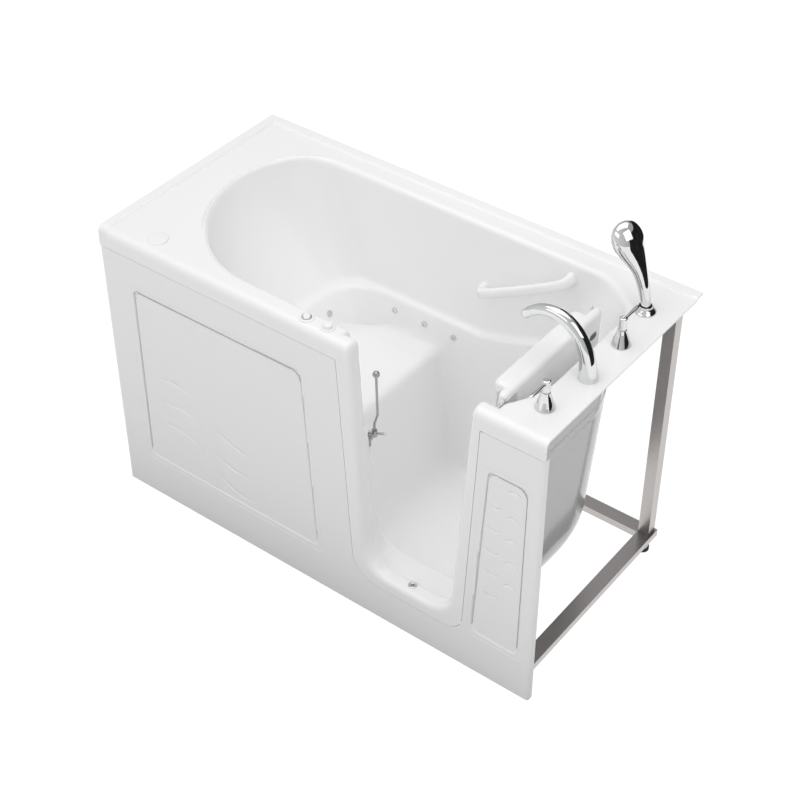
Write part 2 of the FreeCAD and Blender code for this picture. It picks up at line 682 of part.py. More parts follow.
# ---------------------------------------------------------------- door, standing open
def door_slab(y_near_top, y_near_low, y_far_top, y_far_low, z_low, x0, x1, r):
    pts = [(y_near_top, TOP), (y_near_low, z_low), (y_far_low, z_low), (y_far_top, TOP)]
    s = slab([(-a, 0, b) for a, b in pts], 0, x1 - x0, {1: r, 2: r})
    # turn the slab so that its outline runs along the open door
    s.Placement = Placement(V(x0, 0, 0), Rotation(V(0, 0, 1), -90))
    return s


def free_edge(y, z):
    return y - d.taper_left.v * (TOP - z)


def near_edge(y, z):
    return y + d.taper_right.v * (TOP - z)


zf, zp = d.flange_low.v, d.plug_low.v
flange = door_slab(d.flange_near.v, d.flange_near.v, d.flange_far.v, free_edge(d.flange_far.v, zf), zf,
                   d.door_step.v, d.door_inner.v, 8)
plug = door_slab(d.plug_near.v, near_edge(d.plug_near.v, zp), d.plug_far.v, free_edge(d.plug_far.v, zp), zp,
                 d.door_outer.v, d.door_step.v, d.slot_corner.v - 4)
door = flange.fuse(plug).removeSplitter()
PULL_Y, PULL_Z = 503.0, 893.0


def oval(x0, deep, half, radius):
    a = Part.makeCylinder(radius, deep, V(x0, PULL_Y - half, PULL_Z), V(1, 0, 0))
    b = Part.makeCylinder(radius, deep, V(x0, PULL_Y + half, PULL_Z), V(1, 0, 0))
    c = Part.makeBox(deep, 2 * half, 2 * radius, V(x0, PULL_Y - half, PULL_Z - radius))
    return a.fuse([b, c]).removeSplitter()


XI = d.door_inner.v
door = door.cut(oval(XI - 16, 20, 8, 9))
rounded = []
for i, e in enumerate(door.Edges):
    b = e.BoundBox
    if b.ZMin > TOP - 0.1 and b.XLength < 0.1:
        rounded.append(e)
try:
    softer = door.makeFillet(6, [e for e in rounded if e.BoundBox.XMin > XI - 1 or e.BoundBox.XMax < d.door_outer.v + 1])
    if softer.isValid() and len(softer.Solids) == 1:
        door = softer.Solids[0]
except Exception:
    pass
solid("door_panel", door)
solid("door_finger_pull", oval(XI - 15.8, 15.8, 8, 8.9).cut(oval(XI - 13, 20, 8, 7)))
# rubber gasket round the flange, three sides
st, sw = d.seal_thick.v, d.seal_wide.v
seal_out = door_slab(d.flange_near.v + 6, d.flange_near.v + 6, d.flange_far.v - 6, free_edge(d.flange_far.v - 6, zf + 1),
                     zf + 1, d.door_step.v - st, d.door_step.v, 8)
seal_in = door_slab(d.flange_near.v + 6 + sw, d.flange_near.v + 6 + sw, d.flange_far.v - 6 - sw,
                    free_edge(d.flange_far.v - 6 - sw, zf + 9), zf + 9, d.door_step.v - st - 1, d.door_step.v + 1, 4)
seal_in = seal_in.fuse(Part.makeBox(10, d.flange_far.v - d.flange_near.v - 40, 40,
                                    V(d.door_step.v - 5, d.flange_near.v + 20, TOP - 20)))
solid("door_seal", seal_out.cut(seal_in))

# hinges: three pairs of leaves on one upright axis
HINGES = (250, 560, 870)
hx, hy = d.hinge_x.v, d.hinge_y.v
kr, pr = d.knuckle_radius.v, d.pin_radius.v
jamb_leaves, door_leaves, pins = [], [], []
for hz in HINGES:
    tall = d.hinge_tall.v
    third = tall / 3
    jamb_y = d.jamb_depth.v
    web = Part.makeBox(3, hy - jamb_y, tall, V(hx + kr - 3, jamb_y, hz))
    foot_plate = Part.makeBox(15.5, 3, tall, V(hx + kr - 15.5, jamb_y, hz))
    tube = Part.makeCylinder(kr, tall, V(hx, hy, hz))
    room = Part.makeCylinder(kr + 6, third + 0.6, V(hx, hy, hz + third - 0.3))
    room = room.common(Part.makeBox(40, 40, tall, V(hx - 20, hy - kr - 4, hz)))
    leaf = web.fuse([foot_plate, tube]).cut(room).cut(Part.makeCylinder(pr + 0.02, tall + 2, V(hx, hy, hz - 1)))
    jamb_leaves.append(leaf)
    knuckle = Part.makeCylinder(kr, third, V(hx, hy, hz + third))
    block = Part.makeBox(kr + 1.5, 8, third, V(hx, hy, hz + third))
    plate = Part.makeBox(2.5, 48, tall, V(d.door_inner.v, d.flange_near.v + 1, hz))
    tongue = Part.makeBox(2.5, 14, third, V(d.door_inner.v, hy, hz + third))
    leaf = knuckle.fuse([block, tongue, plate]).cut(
        Part.makeCylinder(pr + d.run_gap.v, tall + 2, V(hx, hy, hz - 1)))
    door_leaves.append(leaf.removeSplitter())
    pins.append(Part.makeCylinder(pr, tall, V(hx, hy, hz)).fuse(
        Part.makeCylinder(pr + 2.5, 3, V(hx, hy, hz + tall))).removeSplitter())
solid("hinge_jamb_leaves", Part.makeCompound(jamb_leaves))
solid("hinge_pins", Part.makeCompound(pins))
solid("hinge_door_leaves", Part.makeCompound(door_leaves))

# ---------------------------------------------------------------- latch
lx, ly, lz = d.latch_x.v, d.latch_y.v, d.latch_z.v
eye = d.latch_eye.v
ex, ey = d.lever_x.v, d.lever_y.v


def wall_strip(x0, x1, z0, z1, thick):
    """A plate that lies flat on the sloping front wall of the basin."""
    c = 0.05
    pts = [V(x0, front_wall(z0) + c, z0), V(x0, front_wall(z1) + c, z1),
           V(x0, front_wall(z1) + c + thick, z1), V(x0, front_wall(z0) + c + thick, z0)]
    face = Part.Face(Part.makePolygon(pts + [pts[0]]))
    return face.extrude(V(x1 - x0, 0, 0))


plate = wall_strip(lx - 22, lx + 14, lz - 34, lz + 34, 4)
ears = []
for z0 in (lz - 16, lz + 12):
    y0 = front_wall(z0) + 1
    ears.append(Part.makeBox(2 * eye, ly - y0, 4, V(lx - eye, y0, z0)))
    ears.append(Part.makeCylinder(eye, 4, V(lx, ly, z0)))
bracket = plate.fuse(ears).cut(Part.makeCylinder(pr + 0.02, 60, V(lx, ly, lz - 30)))
bracket = bracket.removeSplitter()
pivot = Part.makeCylinder(pr, 34, V(lx, ly, lz - 17)).fuse([
    Part.makeCylinder(pr + 2.5, 2.5, V(lx, ly, lz + 16.2)),
    Part.makeCylinder(pr + 2.5, 2.5, V(lx, ly, lz - 18.7))]).removeSplitter()
solid("latch_bracket", bracket)
solid("latch_pin", pivot)
arm_len = math.hypot(ex - lx, ey - ly)
arm_ang = math.degrees(math.atan2(ey - ly, ex - lx))
bar = Part.makeBox(arm_len, 8, 14, V(0, -4, lz - 7))
bar.Placement = Placement(V(lx, ly, 0), Rotation(V(0, 0, 1), arm_ang))
SCREW = (math.cos(math.radians(30)), math.sin(math.radians(30)), 0)
boss = Part.makeCylinder(8, 22, V(ex, ey, lz - 11))
hub = Part.makeCylinder(eye, 22, V(lx, ly, lz - 11))
arm = bar.fuse([boss, hub])
arm = arm.cut([Part.makeCylinder(pr + d.run_gap.v, 60, V(lx, ly, lz - 30)),
               Part.makeCylinder(4.02, 60, V(ex - 30 * SCREW[0], ey - 30 * SCREW[1], lz), V(*SCREW))])
solid("latch_arm", arm.removeSplitter())


def along(points, radius, bends, section=None):
    """A rod through points, round unless given a section, its corners rounded
    with tangent arcs."""
    edges, here = [], points[0]
    for i in range(1, len(points) - 1):
        p, a, b = points[i], points[i - 1], points[i + 1]
        u, w = (a - p).normalize(), (b - p).normalize()
        half = u.getAngle(w) / 2
        r = bends[i - 1]
        back = r / math.tan(half)
        mid = p + (u + w).normalize() * (r / math.sin(half) - r)
        edges.append(edge(here, p + u * back))
        edges.append(Part.Arc(p + u * back, mid, p + w * back).toShape())
        here = p + w * back
    edges.append(edge(here, points[-1]))
    path = Part.Wire(edges)
    if section is None:
        axis = (points[1] - points[0]).normalize()
        section = Part.Wire([Part.Circle(points[0], axis, radius).toShape()])
    return path.makePipeShell([section], True, False), path.Length


rod, rod_len = along([V(ex, ey, lz + 11), V(ex, ey, lz + 34), V(ex + 12, ey, lz + 74), V(ex + 8.5, ey, d.ball_z.v - 9)],
                     d.rod_radius.v, [26, 34])
print("latch rod", round(rod.Volume / (math.pi * d.rod_radius.v ** 2 * rod_len), 4))
knob_c = V(ex + 8.5, ey, d.ball_z.v)
knob = Part.makeSphere(d.ball_radius.v, knob_c)
solid("latch_lever", rod.cut(Part.makeSphere(d.ball_radius.v + 0.15, knob_c)))
solid("latch_knob", knob)
thread = Part.makeCylinder(4, 42, V(ex - 14 * SCREW[0], ey - 14 * SCREW[1], lz), V(*SCREW))
solid("latch_screw", thread.fuse(Part.makeCylinder(6.5, 4, V(ex - 18 * SCREW[0], ey - 18 * SCREW[1], lz), V(*SCREW))).removeSplitter())
solid("latch_pressure_pad", Part.makeCylinder(6, 6, V(ex + 28 * SCREW[0], ey + 28 * SCREW[1], lz), V(*SCREW)))

# ---------------------------------------------------------------- grab bar
GA, GB = (888.0, 762.0), (1169.0, 914.0)


def flat_end(x, z):
    return V(x, upper_back(z) - 0.2, z)


A, B = flat_end(*GA), flat_end(*GB)
e_dir = (B - A).normalize()
n_dir = (V(0, -1, 0) - e_dir * V(0, -1, 0).dot(e_dir)).normalize()
s_dir = e_dir.cross(n_dir).normalize()
mid = (A + B) * 0.5
corners = [A - n_dir * 4, A + n_dir * 38, mid + n_dir * 52, B + n_dir * 38, B - n_dir * 4]
oval_end = Part.Wire([Part.Ellipse(corners[0] + s_dir * 15, corners[0] + e_dir * 10, corners[0]).toShape()])
bar, bar_len = along(corners, 0, [24, 400, 24], oval_end)
wall_side = []
for (gx, gz) in (GA, GB):
    pts = [V(gx - 60, upper_back(gz - 60) - 0.2, gz - 60), V(gx - 60, upper_back(gz + 60) - 0.2, gz + 60) if gz + 60 < 949 else V(gx - 60, upper_back(949) - 0.2, 949),
           V(gx - 60, 760, 960), V(gx - 60, 760, gz - 60)]
    f = Part.Face(Part.makePolygon(pts + [pts[0]]))
    wall_side.append(f.extrude(V(120, 0, 0)))
bar = bar.cut(wall_side)
solid("grab_bar", bar.Solids[0] if len(bar.Solids) == 1 else bar)
bolts = []
for gx, gz in (GA, GB):
    y0 = upper_back(gz) + d.skin.v + 2.0
    bolts.append(Part.makeCylinder(7, 6, V(gx, y0, gz), V(0, 1, 0)).fuse(
        Part.makeCylinder(11, 1.2, V(gx, y0 - 0.6, gz), V(0, 1, 0))).removeSplitter())
solid("grab_bar_nuts", Part.makeCompound(bolts))

# ---------------------------------------------------------------- air system
bodies, faces, jam = [], [], []
for jx, jy, jz, jd in JETS:
    o = V(jx, jy, jz)
    v = V(*jd)
    at = lambda s: o + v * s
    barrel = Part.makeCylinder(d.jet_barrel.v, 40, at(0.1), v)
    head = Part.makeCylinder(d.jet_radius.v - 1.5, 2.2, at(-2.3), v)
    way = Part.makeCylinder(5, 50, at(-4), v)
    bodies.append(barrel.cut(way))
    rimmed = Part.makeCylinder(d.jet_radius.v, 2.6, at(-2.7), v).cut(Part.makeCylinder(6.5, 10, at(-5), v))
    spokes = Part.makeCylinder(6.5, 1.4, at(-1.5), v)
    for k in range(6):
        q = math.radians(60 * k)
        side = v.cross(V(0, 0, 1)).normalize()
        up = side.cross(v).normalize()
        spokes = spokes.cut(Part.makeCylinder(1.2, 6, at(-4) + side * (4 * math.cos(q)) + up * (4 * math.sin(q)), v))
    faces.append(rimmed.fuse(spokes).removeSplitter())
    nut = Part.makeCylinder(15, 8, at(d.skin.v + 2.0), v).cut(Part.makeCylinder(d.jet_barrel.v + 0.1, 30, at(0), v))
    jam.append(nut)
solid("air_jet_bodies", Part.makeCompound(bodies))
solid("air_jet_faces", Part.makeCompound(faces))
solid("air_jet_lock_nuts", Part.makeCompound(jam))

# blower on a tray behind the backrest
bx, by = d.blower_x, d.blower_y
tray_z = d.rail_top
keep(box(bx - 110, by - 130, tray_z, 220, 260, 6), "blower_tray")
bz = tray_z + 6
cup_out = cyl(bx, by, bz, d.blower_radius, d.blower_tall)
spigot = cyl(d.riser_x, by + 20, bz + 62, 25, 105, (0, 1, 0))
cup_in = cyl(bx, by, bz + 6, d.blower_radius - 5, d.blower_tall)
spigot_in = cyl(d.riser_x, by + 10, bz + 62, 20, 120, (0, 1, 0))
cup = cut(fuse(cup_out, spigot), cup_in, spigot_in)
lid_z = bz + d.blower_tall
keep(cup, "blower_housing")
keep(cut(cyl(bx, by, lid_z, d.blower_radius, 5), cyl(bx, by, lid_z - 5, 14, 15)), "blower_lid")
keep(cut(fuse(cyl(bx, by, lid_z + 5, d.motor_radius, d.motor_tall), cyl(bx, by, lid_z + 5 + d.motor_tall, d.motor_radius - 14, 12)),
         cyl(bx, by, lid_z, d.shaft_radius + d.run_gap, 70)), "blower_motor")
wheel = [cyl(bx, by, bz + 18, d.impeller_radius, 3), cyl(bx, by, bz + 18, 16, 46),
         cyl(bx, by, bz + 60, d.shaft_radius, lid_z + 60 - bz - 60)]
for k in range(8):
    rot = Rotation(V(0, 0, 1), 45 * k)
    w = doc.addObject("Part::Box", fresh("blade"))
    bind(w, "Length", d.impeller_radius - 18)
    bind(w, "Width", 2.5)
    bind(w, "Height", 38)
    off = rot.multVec(V(14, -1.2, 0))
    place(w, bx + off.x, by + off.y, bz + 20, rot)
    wheel.append(w)
keep(fuse(*wheel), "blower_impeller")
# pipes: blower outlet, check valve, riser with branches to the jets
px, py = d.riser_x.v, d.pipe_y.v
pz0 = d.rail_top.v + 6 + 62
out_y = d.blower_y.v + 125
valve_z0, valve_z1 = 250.0, 330.0
run, run_len = along([V(px, out_y, pz0), V(px, py, pz0), V(px, py, valve_z0)], d.pipe_radius.v + 3, [45])
solid("air_supply_pipe", run)
print("air pipe", round(run.Volume / (math.pi * (d.pipe_radius.v + 3) ** 2 * run_len), 4))
turned("air_check_valve", [(0, 0), (26, 0), (32, 12), (32, 68), (26, 80), (0, 80)], d.riser_x, d.pipe_y, valve_z0)
upper_run, _ = along([V(px, py, valve_z1), V(px, py, d.jet_z.v), V(d.jet_third.v + 30, py, d.jet_z.v)],
                     d.pipe_radius.v, [40])
branch = Part.makeCylinder(d.pipe_radius.v, py - 226, V(px, 226, d.branch_z.v), V(0, 1, 0))
pieces = [branch]
for jx, jy, jz, jd in JETS[:3]:
    o, v = V(jx, jy, jz), V(*jd)
    start = o + v * 40.1
    tip = V(jx, py, jz)
    axis = (tip - start)
    pieces.append(Part.makeCylinder(d.jet_barrel.v, axis.Length, start, axis.normalize()))
for jx, jy, jz, jd in JETS[3:]:
    o, v = V(jx, jy, jz), V(*jd)
    start = o + v * 40.1
    tip = V(px, jy, d.branch_z.v)
    axis = (tip - start)
    pieces.append(Part.makeCylinder(d.jet_barrel.v, axis.Length, start, axis.normalize()))
manifold = upper_run.fuse(pieces)
for jx, jy, jz, jd in JETS:
    o, v = V(jx, jy, jz), V(*jd)
    manifold = manifold.cut(Part.makeCylinder(14, 40.15, o, v))
solid("air_manifold", manifold.Solids[0] if len(manifold.Solids) == 1 else manifold)
# control box on the front left post
cbx = px0 + d.post_size
keep(group(cut(box(cbx, 30, 300, 140, 55, 120), box(cbx + 4, 34, 304, 132, 60, 112)), box(cbx, 85, 300, 140, 4, 120)), "control_box")

# ---------------------------------------------------------------- deck controls
dt = d.deck_top
turned("deck_cap", [(0, 0), (22.8, 0), (22.8, 18), (d.cap_radius, 18), (d.cap_radius, 20), (d.cap_radius - 3, 22.4), (0, 23)],
       d.cap_x, d.cap_y, dt - 18)
# push button: sleeve with ring, plunger, rubber bellows, air housing below
turned("air_button_ring", [(d.button_radius + d.travel_room, 0), (15.6, 0), (15.6, 28), (d.ring_radius, 28),
                           (d.ring_radius, 29.5), (d.ring_radius - 2.5, 31.2), (d.button_radius + d.travel_room, 31.2)],
       d.button_x, d.controls_y, dt - 28)
turned("air_button", [(0, 0), (d.button_radius, 0), (d.button_radius, 26), (d.button_radius - 2, 28), (0, 29)],
       d.button_x, d.controls_y, dt - 21)
turned("air_button_bellows", [(4, 0), (10, 0), (12, 3), (9, 6), (12, 9), (9, 12), (12, 15), (9, 18), (11, 20.5), (4, 20.5)],
       d.button_x, d.controls_y, dt - 42)
turned("air_button_housing", [(0, 0), (18, 0), (18, 24), (15.9, 24), (15.9, 16), (13, 16), (13, 4), (0, 4)],
       d.button_x, d.controls_y, dt - 46)
# turning knob that works the waste by a cable
turned("drain_knob_ring", [(d.spindle_radius + d.run_gap, 0), (11, 0), (11, 24), (21, 24), (21, 25.5), (18.5, 27.2),
                           (d.spindle_radius + d.run_gap, 27.2)], d.knob_x, d.controls_y, dt - 24)
knob_body = turned(None, [(0, 0), (9, 0), (9, 7), (d.spindle_radius, 7), (d.spindle_radius, 34.6), (d.knob_radius, 34.6),
                          (d.knob_radius, 43), (d.knob_radius - 2, 45), (0, 45.6)], d.knob_x, d.controls_y, dt - 31)
keep(fuse(knob_body, cyl(d.knob_x - 4.5, d.controls_y + 6, dt + 13, 3, 4)), "drain_knob")

# ---------------------------------------------------------------- filler
def handle(name, hx_, hy_, sign):
    base_ = turned(None, [(8, 0), (d.base_radius, 0), (d.base_radius, 1.5), (12, d.base_tall - 1), (12, d.base_tall), (8, d.base_tall)],
           hx_, hy_, dt)
    hub_ = turned(None, [(d.spindle_radius + d.run_gap, 0), (d.hub_radius, 0), (d.hub_radius + 0.8, 4), (d.hub_radius - 1, 9),
                         (d.hub_radius - 1.5, d.hub_tall - 5), (d.hub_radius - 4, d.hub_tall - 0.5), (0, d.hub_tall),
                         (0, 20), (d.spindle_radius + d.run_gap, 20)], hx_, hy_, dt + d.base_tall + 0.5)
    arm_ = cone(hx_, hy_ + sign * 6, dt + 80, 4.2, 5.2, d.handle_reach - 6, (0, sign, 0.03))
    tip_ = ball(hx_, hy_ + sign * d.handle_reach, dt + 82, 5.4)
    keep(fuse(hub_, arm_, tip_), name + "_lever")
    return base_


keep(group(handle("hot", d.hot_x, d.hot_y, -1), handle("cold", d.cold_x, d.cold_y, 1)), "valve_bases")
valves, deck_nuts = [], []
for vx, vy in ((d.hot_x, d.hot_y), (d.cold_x, d.cold_y)):
    valves.append(fuse(cyl(vx, vy, dt - 62, 14, 62 - 2), cyl(vx, vy, dt - 62, d.spindle_radius, d.base_tall + 62 + 18),
                       cyl(vx, vy, dt - 44, 13, 16, (1, 0, 0)), cyl(vx, vy, dt - 44, d.supply_radius, 30, (1, 0, 0))))
    deck_nuts.append(cut(cyl(vx, vy, dt - 18, 22, 10), cyl(vx, vy, dt - 20, 14.1, 14)))
keep(group(*valves), "valve_bodies")
deck_nuts.append(cut(cyl(d.spout_x, d.spout_y, dt - 18, 24, 10), cyl(d.spout_x, d.spout_y, dt - 20, 14.6, 14)))
holder_x, holder_y = d.shower_x.v, d.shower_y.v
deck_nuts.append(cut(cyl(d.shower_x, d.shower_y, dt - 18, 24, 10), cyl(d.shower_x, d.shower_y, dt - 20, 16.1, 14)))
keep(group(*deck_nuts), "deck_lock_nuts")
SPOUT = [(1467.5, 963, 27), (1467.5, 968, 26.6), (1466.8, 978, 25.6), (1465.5, 992, 24.2), (1461, 1020, 22),
         (1448, 1056, 20), (1424, 1090, 18.6), (1392, 1113, 17.8), (1354, 1121, 17), (1316, 1113, 16), (1287, 1095, 15), (1270, 1079, 14.5)]
sp_off = V(d.spout_x.v - 1467.5, d.spout_y.v, TOP - 963)
line = [V(x, 0, z) + sp_off for x, z, r in SPOUT]
hoops = []
for i, (x, z, r) in enumerate(SPOUT):
    t = line[min(i + 1, len(line) - 1)] - line[max(i - 1, 0)]
    if i == 0:
        t = V(0, 0, 1)
    hoops.append(Part.Wire([Part.Circle(line[i], t.normalize(), r).toShape()]))
spout = Part.makeLoft(hoops, True, False)
t_end = (line[-1] - line[-2]).normalize()
spout = spout.cut(Part.makeCylinder(11.5, 30, line[-1] - t_end * 25, t_end))
shank = Part.makeCylinder(14.5, 66, V(d.spout_x.v, d.spout_y.v, TOP - 60))
spout = spout.fuse(shank).removeSplitter()
solid("spout", spout.Solids[0] if len(spout.Solids) == 1 else spout)

# ---------------------------------------------------------------- hand shower
sx, sy = d.shower_x, d.shower_y
turned("shower_holder", [(13.6, 0), (16, 0), (16, 60), (30, 60), (30, 63), (25, 69), (19, 74), (19, 80), (16.4, 80), (13.6, 64)],
       sx, sy, dt - 60)
S0 = V(d.shower_x.v, d.shower_y.v, TOP)
HANDLE = [(0, -30, 12.8, 12.8), (0, 0, 12.8, 12.8), (0, 12, 13.2, 13.2), (-1, 26, 13.6, 13.6), (-5, 46, 14.6, 14.6),
          (-13, 78, 16.2, 16.8), (-25, 112, 18, 20), (-41, 144, 21.5, 28), (-59, 172, 27, 39), (-72, 196, 31, 46),
          (-84, 219, 27, 42), (-93, 237, 17, 29), (-97, 245, 6, 10)]
TWIST = math.radians(25)
mid_pts = [S0 + V(x, 0, z) for x, z, a, b in HANDLE]
hoops = []
for i, (x, z, a, b) in enumerate(HANDLE):
    t = (mid_pts[min(i + 1, len(mid_pts) - 1)] - mid_pts[max(i - 1, 0)]).normalize()
    if i < 2:
        t = V(0, 0, 1)
    rear = V(0, 1, 0).cross(t).normalize()
    side = V(0, 1, 0) * math.cos(TWIST) + rear * math.sin(TWIST)
    across = side.cross(t).normalize()
    pts = [mid_pts[i] + across * (a * math.cos(2 * math.pi * k / 16)) + side * (b * math.sin(2 * math.pi * k / 16)) for k in range(16)]
    c = Part.BSplineCurve()
    c.interpolate(pts, PeriodicFlag=True)
    hoops.append(Part.Wire([c.toShape()]))
stem = Part.makeLoft(hoops, True, False)
U_DIR = V(-0.47, 0, 0.883).normalize()
rear = V(0, 1, 0).cross(U_DIR).normalize()
SIDE = V(0, 1, 0) * math.cos(TWIST) + rear * math.sin(TWIST)
F_DIR = V(0, 1, 0) * math.sin(TWIST) - rear * math.cos(TWIST)
face_o = S0 + V(-68, 0, 190) + F_DIR * 22
front = Part.makeBox(120, 160, 160, V(-60, -80, 0))
front.Placement = Placement(face_o, Rotation(V(0, 0, 1), F_DIR))
shower = stem.cut(front)
solid("hand_shower", shower.Solids[0] if len(shower.Solids) == 1 else shower)


def oval_wire(centre, tall, wide):
    return Part.Wire([Part.Ellipse(centre + U_DIR * tall, centre + SIDE * wide, centre).toShape()])


o = face_o + F_DIR * 0.1
solid("shower_spray_face", Part.makeLoft([oval_wire(o, 35, 27), oval_wire(o + F_DIR * 3, 34, 26),
                                          oval_wire(o + F_DIR * 6, 26, 18)], True, True))

# ---------------------------------------------------------------- waste
fz = d.floor_z
wx, wy = d.drain_x, d.drain_y
flange_ring = turned(None, [(20, 0), (25, 0), (25, 34), (d.drain_radius, 34), (d.drain_radius - 1, 36), (26, 37), (20, 34.5)],
                     wx, wy, fz - 34)
guide = cut(fuse(box(wx - 21, wy - 2, fz - 24, 42, 4, 5), box(wx - 2, wy - 21, fz - 24, 4, 42, 5), cyl(wx, wy, fz - 28, 7, 10)),
            cyl(wx, wy, fz - 40, 4 + d.run_gap, 40))
keep(fuse(flange_ring, guide), "drain_flange")
turned("drain_stopper", [(0, 0), (4, 0), (4, 34), (d.stopper_radius - 3, 34), (d.stopper_radius, 36.5), (d.stopper_radius, 38), (d.stopper_radius - 6, 40), (0, 41)],
       wx, wy, fz - 39)
# straight tailpiece: a cup screwed to the flange, a spigot down to the trap
cup_low = fz - 50
keep(cut(fuse(cyl(wx, wy, cup_low, 32, fz - d.skin - cup_low - 0.5), cyl(wx, wy, 2, d.waste_radius, cup_low - 2 + 3)),
         cyl(wx, wy, cup_low + 5, 25.1, 80), cyl(wx, wy, -5, d.waste_radius - 3, 80)), "drain_tailpiece")
turned("sill_drain", [(4.5, 0), (9.6, 0), (9.6, 18), (14, 18), (14, 19.2), (12, 20.4), (6, 20.4), (4.5, 19)], d.weep_x, d.weep_y, d.sill_z - 18)

# ---------------------------------------------------------------- checks and output
doc.recompute()
faults = []
for o in doc.Objects:
    if "Invalid" in o.State or "Error" in o.State:
        faults.append("%s (%s): %s" % (o.Name, o.Label, o.State))
names = set()
for o in PARTS:
    s = o.Shape
    if s.isNull() or not s.isValid() or not s.Solids:
        faults.append("%s: bad shape" % o.Label)
    if o.Label in names:
        faults.append("%s: twice" % o.Label)
    names.add(o.Label)
if faults:
    raise RuntimeError("; ".join(faults))
os.makedirs("parts", exist_ok=True)
for o in PARTS:
    o.Shape.exportStep("parts/%s.step" % o.Label)
    b = o.Shape.BoundBox
    print("%-22s solids %2d  vol %10.1f cm3  x %8.1f %8.1f  y %8.1f %8.1f  z %8.1f %8.1f" % (
        o.Label, len(o.Shape.Solids), o.Shape.Volume / 1000, b.XMin, b.XMax, b.YMin, b.YMax, b.ZMin, b.ZMax))
print(len(PARTS), "pieces")
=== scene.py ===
import json
import math

import bmesh
import bpy
import numpy as np
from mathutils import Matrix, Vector


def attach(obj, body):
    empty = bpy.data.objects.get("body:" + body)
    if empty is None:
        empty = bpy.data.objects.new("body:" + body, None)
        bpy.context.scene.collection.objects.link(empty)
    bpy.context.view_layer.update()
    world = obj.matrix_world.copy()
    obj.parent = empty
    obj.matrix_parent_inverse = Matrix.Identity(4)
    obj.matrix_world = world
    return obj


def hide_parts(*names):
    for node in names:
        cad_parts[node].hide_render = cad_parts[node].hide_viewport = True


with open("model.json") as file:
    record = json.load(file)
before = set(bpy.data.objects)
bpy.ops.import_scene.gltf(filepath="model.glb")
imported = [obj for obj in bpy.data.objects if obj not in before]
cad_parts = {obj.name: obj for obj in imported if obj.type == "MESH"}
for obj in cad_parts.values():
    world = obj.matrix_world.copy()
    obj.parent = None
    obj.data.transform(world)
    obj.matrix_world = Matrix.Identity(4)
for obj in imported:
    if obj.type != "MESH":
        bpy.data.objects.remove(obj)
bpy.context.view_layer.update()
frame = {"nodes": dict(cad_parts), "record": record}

# Lengths below are in millimetres in the tub's own axes: x from the left end,
# y from the front face, z from the floor. put() turns them into the frame.
LONG, WIDE, TOP = 1524.0, 762.0, 963.0


def put(v):
    v = np.asarray(v, dtype=np.float64).reshape(-1, 3)
    return (v - np.array([LONG / 2, WIDE / 2, 0.0])) / 1000.0


# ---------------------------------------------------------------- camera
cam_data = bpy.data.cameras.new("camera")
cam_data.sensor_width = 36.0
cam_data.lens = 77.33
cam_data.clip_end = 100.0
cam = bpy.data.objects.new("camera", cam_data)
bpy.context.scene.collection.objects.link(cam)
cam.location = (2.36083, -3.06739, 3.74350)
cam.rotation_mode = "QUATERNION"
cam.rotation_quaternion = Vector((-0.46166, 0.60638, -0.64744)).to_track_quat("-Z", "Y")
bpy.context.scene.camera = cam
bpy.context.scene.view_settings.view_transform = "Standard"


# ---------------------------------------------------------------- materials
def material(name):
    m = bpy.data.materials.new(name)
    m.use_nodes = True
    t = m.node_tree
    t.nodes.clear()
    out = t.nodes.new("ShaderNodeOutputMaterial")
    bsdf = t.nodes.new("ShaderNodeBsdfPrincipled")
    t.links.new(bsdf.outputs["BSDF"], out.inputs["Surface"])
    return m, t, bsdf


def noise(t, scale, detail=4.0, rough=0.55, stretch=None):
    co = t.nodes.new("ShaderNodeTexCoord")
    n = t.nodes.new("ShaderNodeTexNoise")
    n.inputs["Scale"].default_value = scale
    n.inputs["Detail"].default_value = detail
    n.inputs["Roughness"].default_value = rough
    if stretch:
        mp = t.nodes.new("ShaderNodeMapping")
        mp.inputs["Scale"].default_value = stretch
        t.links.new(co.outputs["Object"], mp.inputs["Vector"])
        t.links.new(mp.outputs["Vector"], n.inputs["Vector"])
    else:
        t.links.new(co.outputs["Object"], n.inputs["Vector"])
    return n


def ramp(t, src, stops):
    r = t.nodes.new("ShaderNodeValToRGB")
    e = r.color_ramp.elements
    while len(e) < len(stops):
        e.new(0.5)
    for k, (pos, col) in enumerate(stops):
        e[k].position = pos
        e[k].color = (col[0], col[1], col[2], 1.0)
    t.links.new(src, r.inputs["Fac"])
    return r


def spread(t, src, low, high, a=0.3, b=0.7):
    r = t.nodes.new("ShaderNodeMapRange")
    r.inputs["From Min"].default_value = a
    r.inputs["From Max"].default_value = b
    r.inputs["To Min"].default_value = low
    r.inputs["To Max"].default_value = high
    t.links.new(src, r.inputs["Value"])
    return r


def bumped(t, bsdf, src, strength, distance):
    b = t.nodes.new("ShaderNodeBump")
    b.inputs["Strength"].default_value = strength
    b.inputs["Distance"].default_value = distance
    t.links.new(src, b.inputs["Height"])
    t.links.new(b.outputs["Normal"], bsdf.inputs["Normal"])


def gloss_white(name, light, dark, rough=(0.16, 0.24), coat=0.25, specular=0.4):
    """Polished gel coat: faint tone drift, fine orange peel, a clear top layer."""
    m, t, s = material(name)
    tone = noise(t, 5.0, 3.0)
    c = ramp(t, tone.outputs["Fac"], [(0.3, dark), (0.7, light)])
    t.links.new(c.outputs["Color"], s.inputs["Base Color"])
    wear = noise(t, 22.0, 5.0)
    r = spread(t, wear.outputs["Fac"], rough[0], rough[1])
    t.links.new(r.outputs["Result"], s.inputs["Roughness"])
    peel = noise(t, 160.0, 2.0)
    bumped(t, s, peel.outputs["Fac"], 0.012, 0.0006)
    s.inputs["Coat Weight"].default_value = coat
    s.inputs["Coat Roughness"].default_value = 0.08
    s.inputs["Specular IOR Level"].default_value = specular
    return m


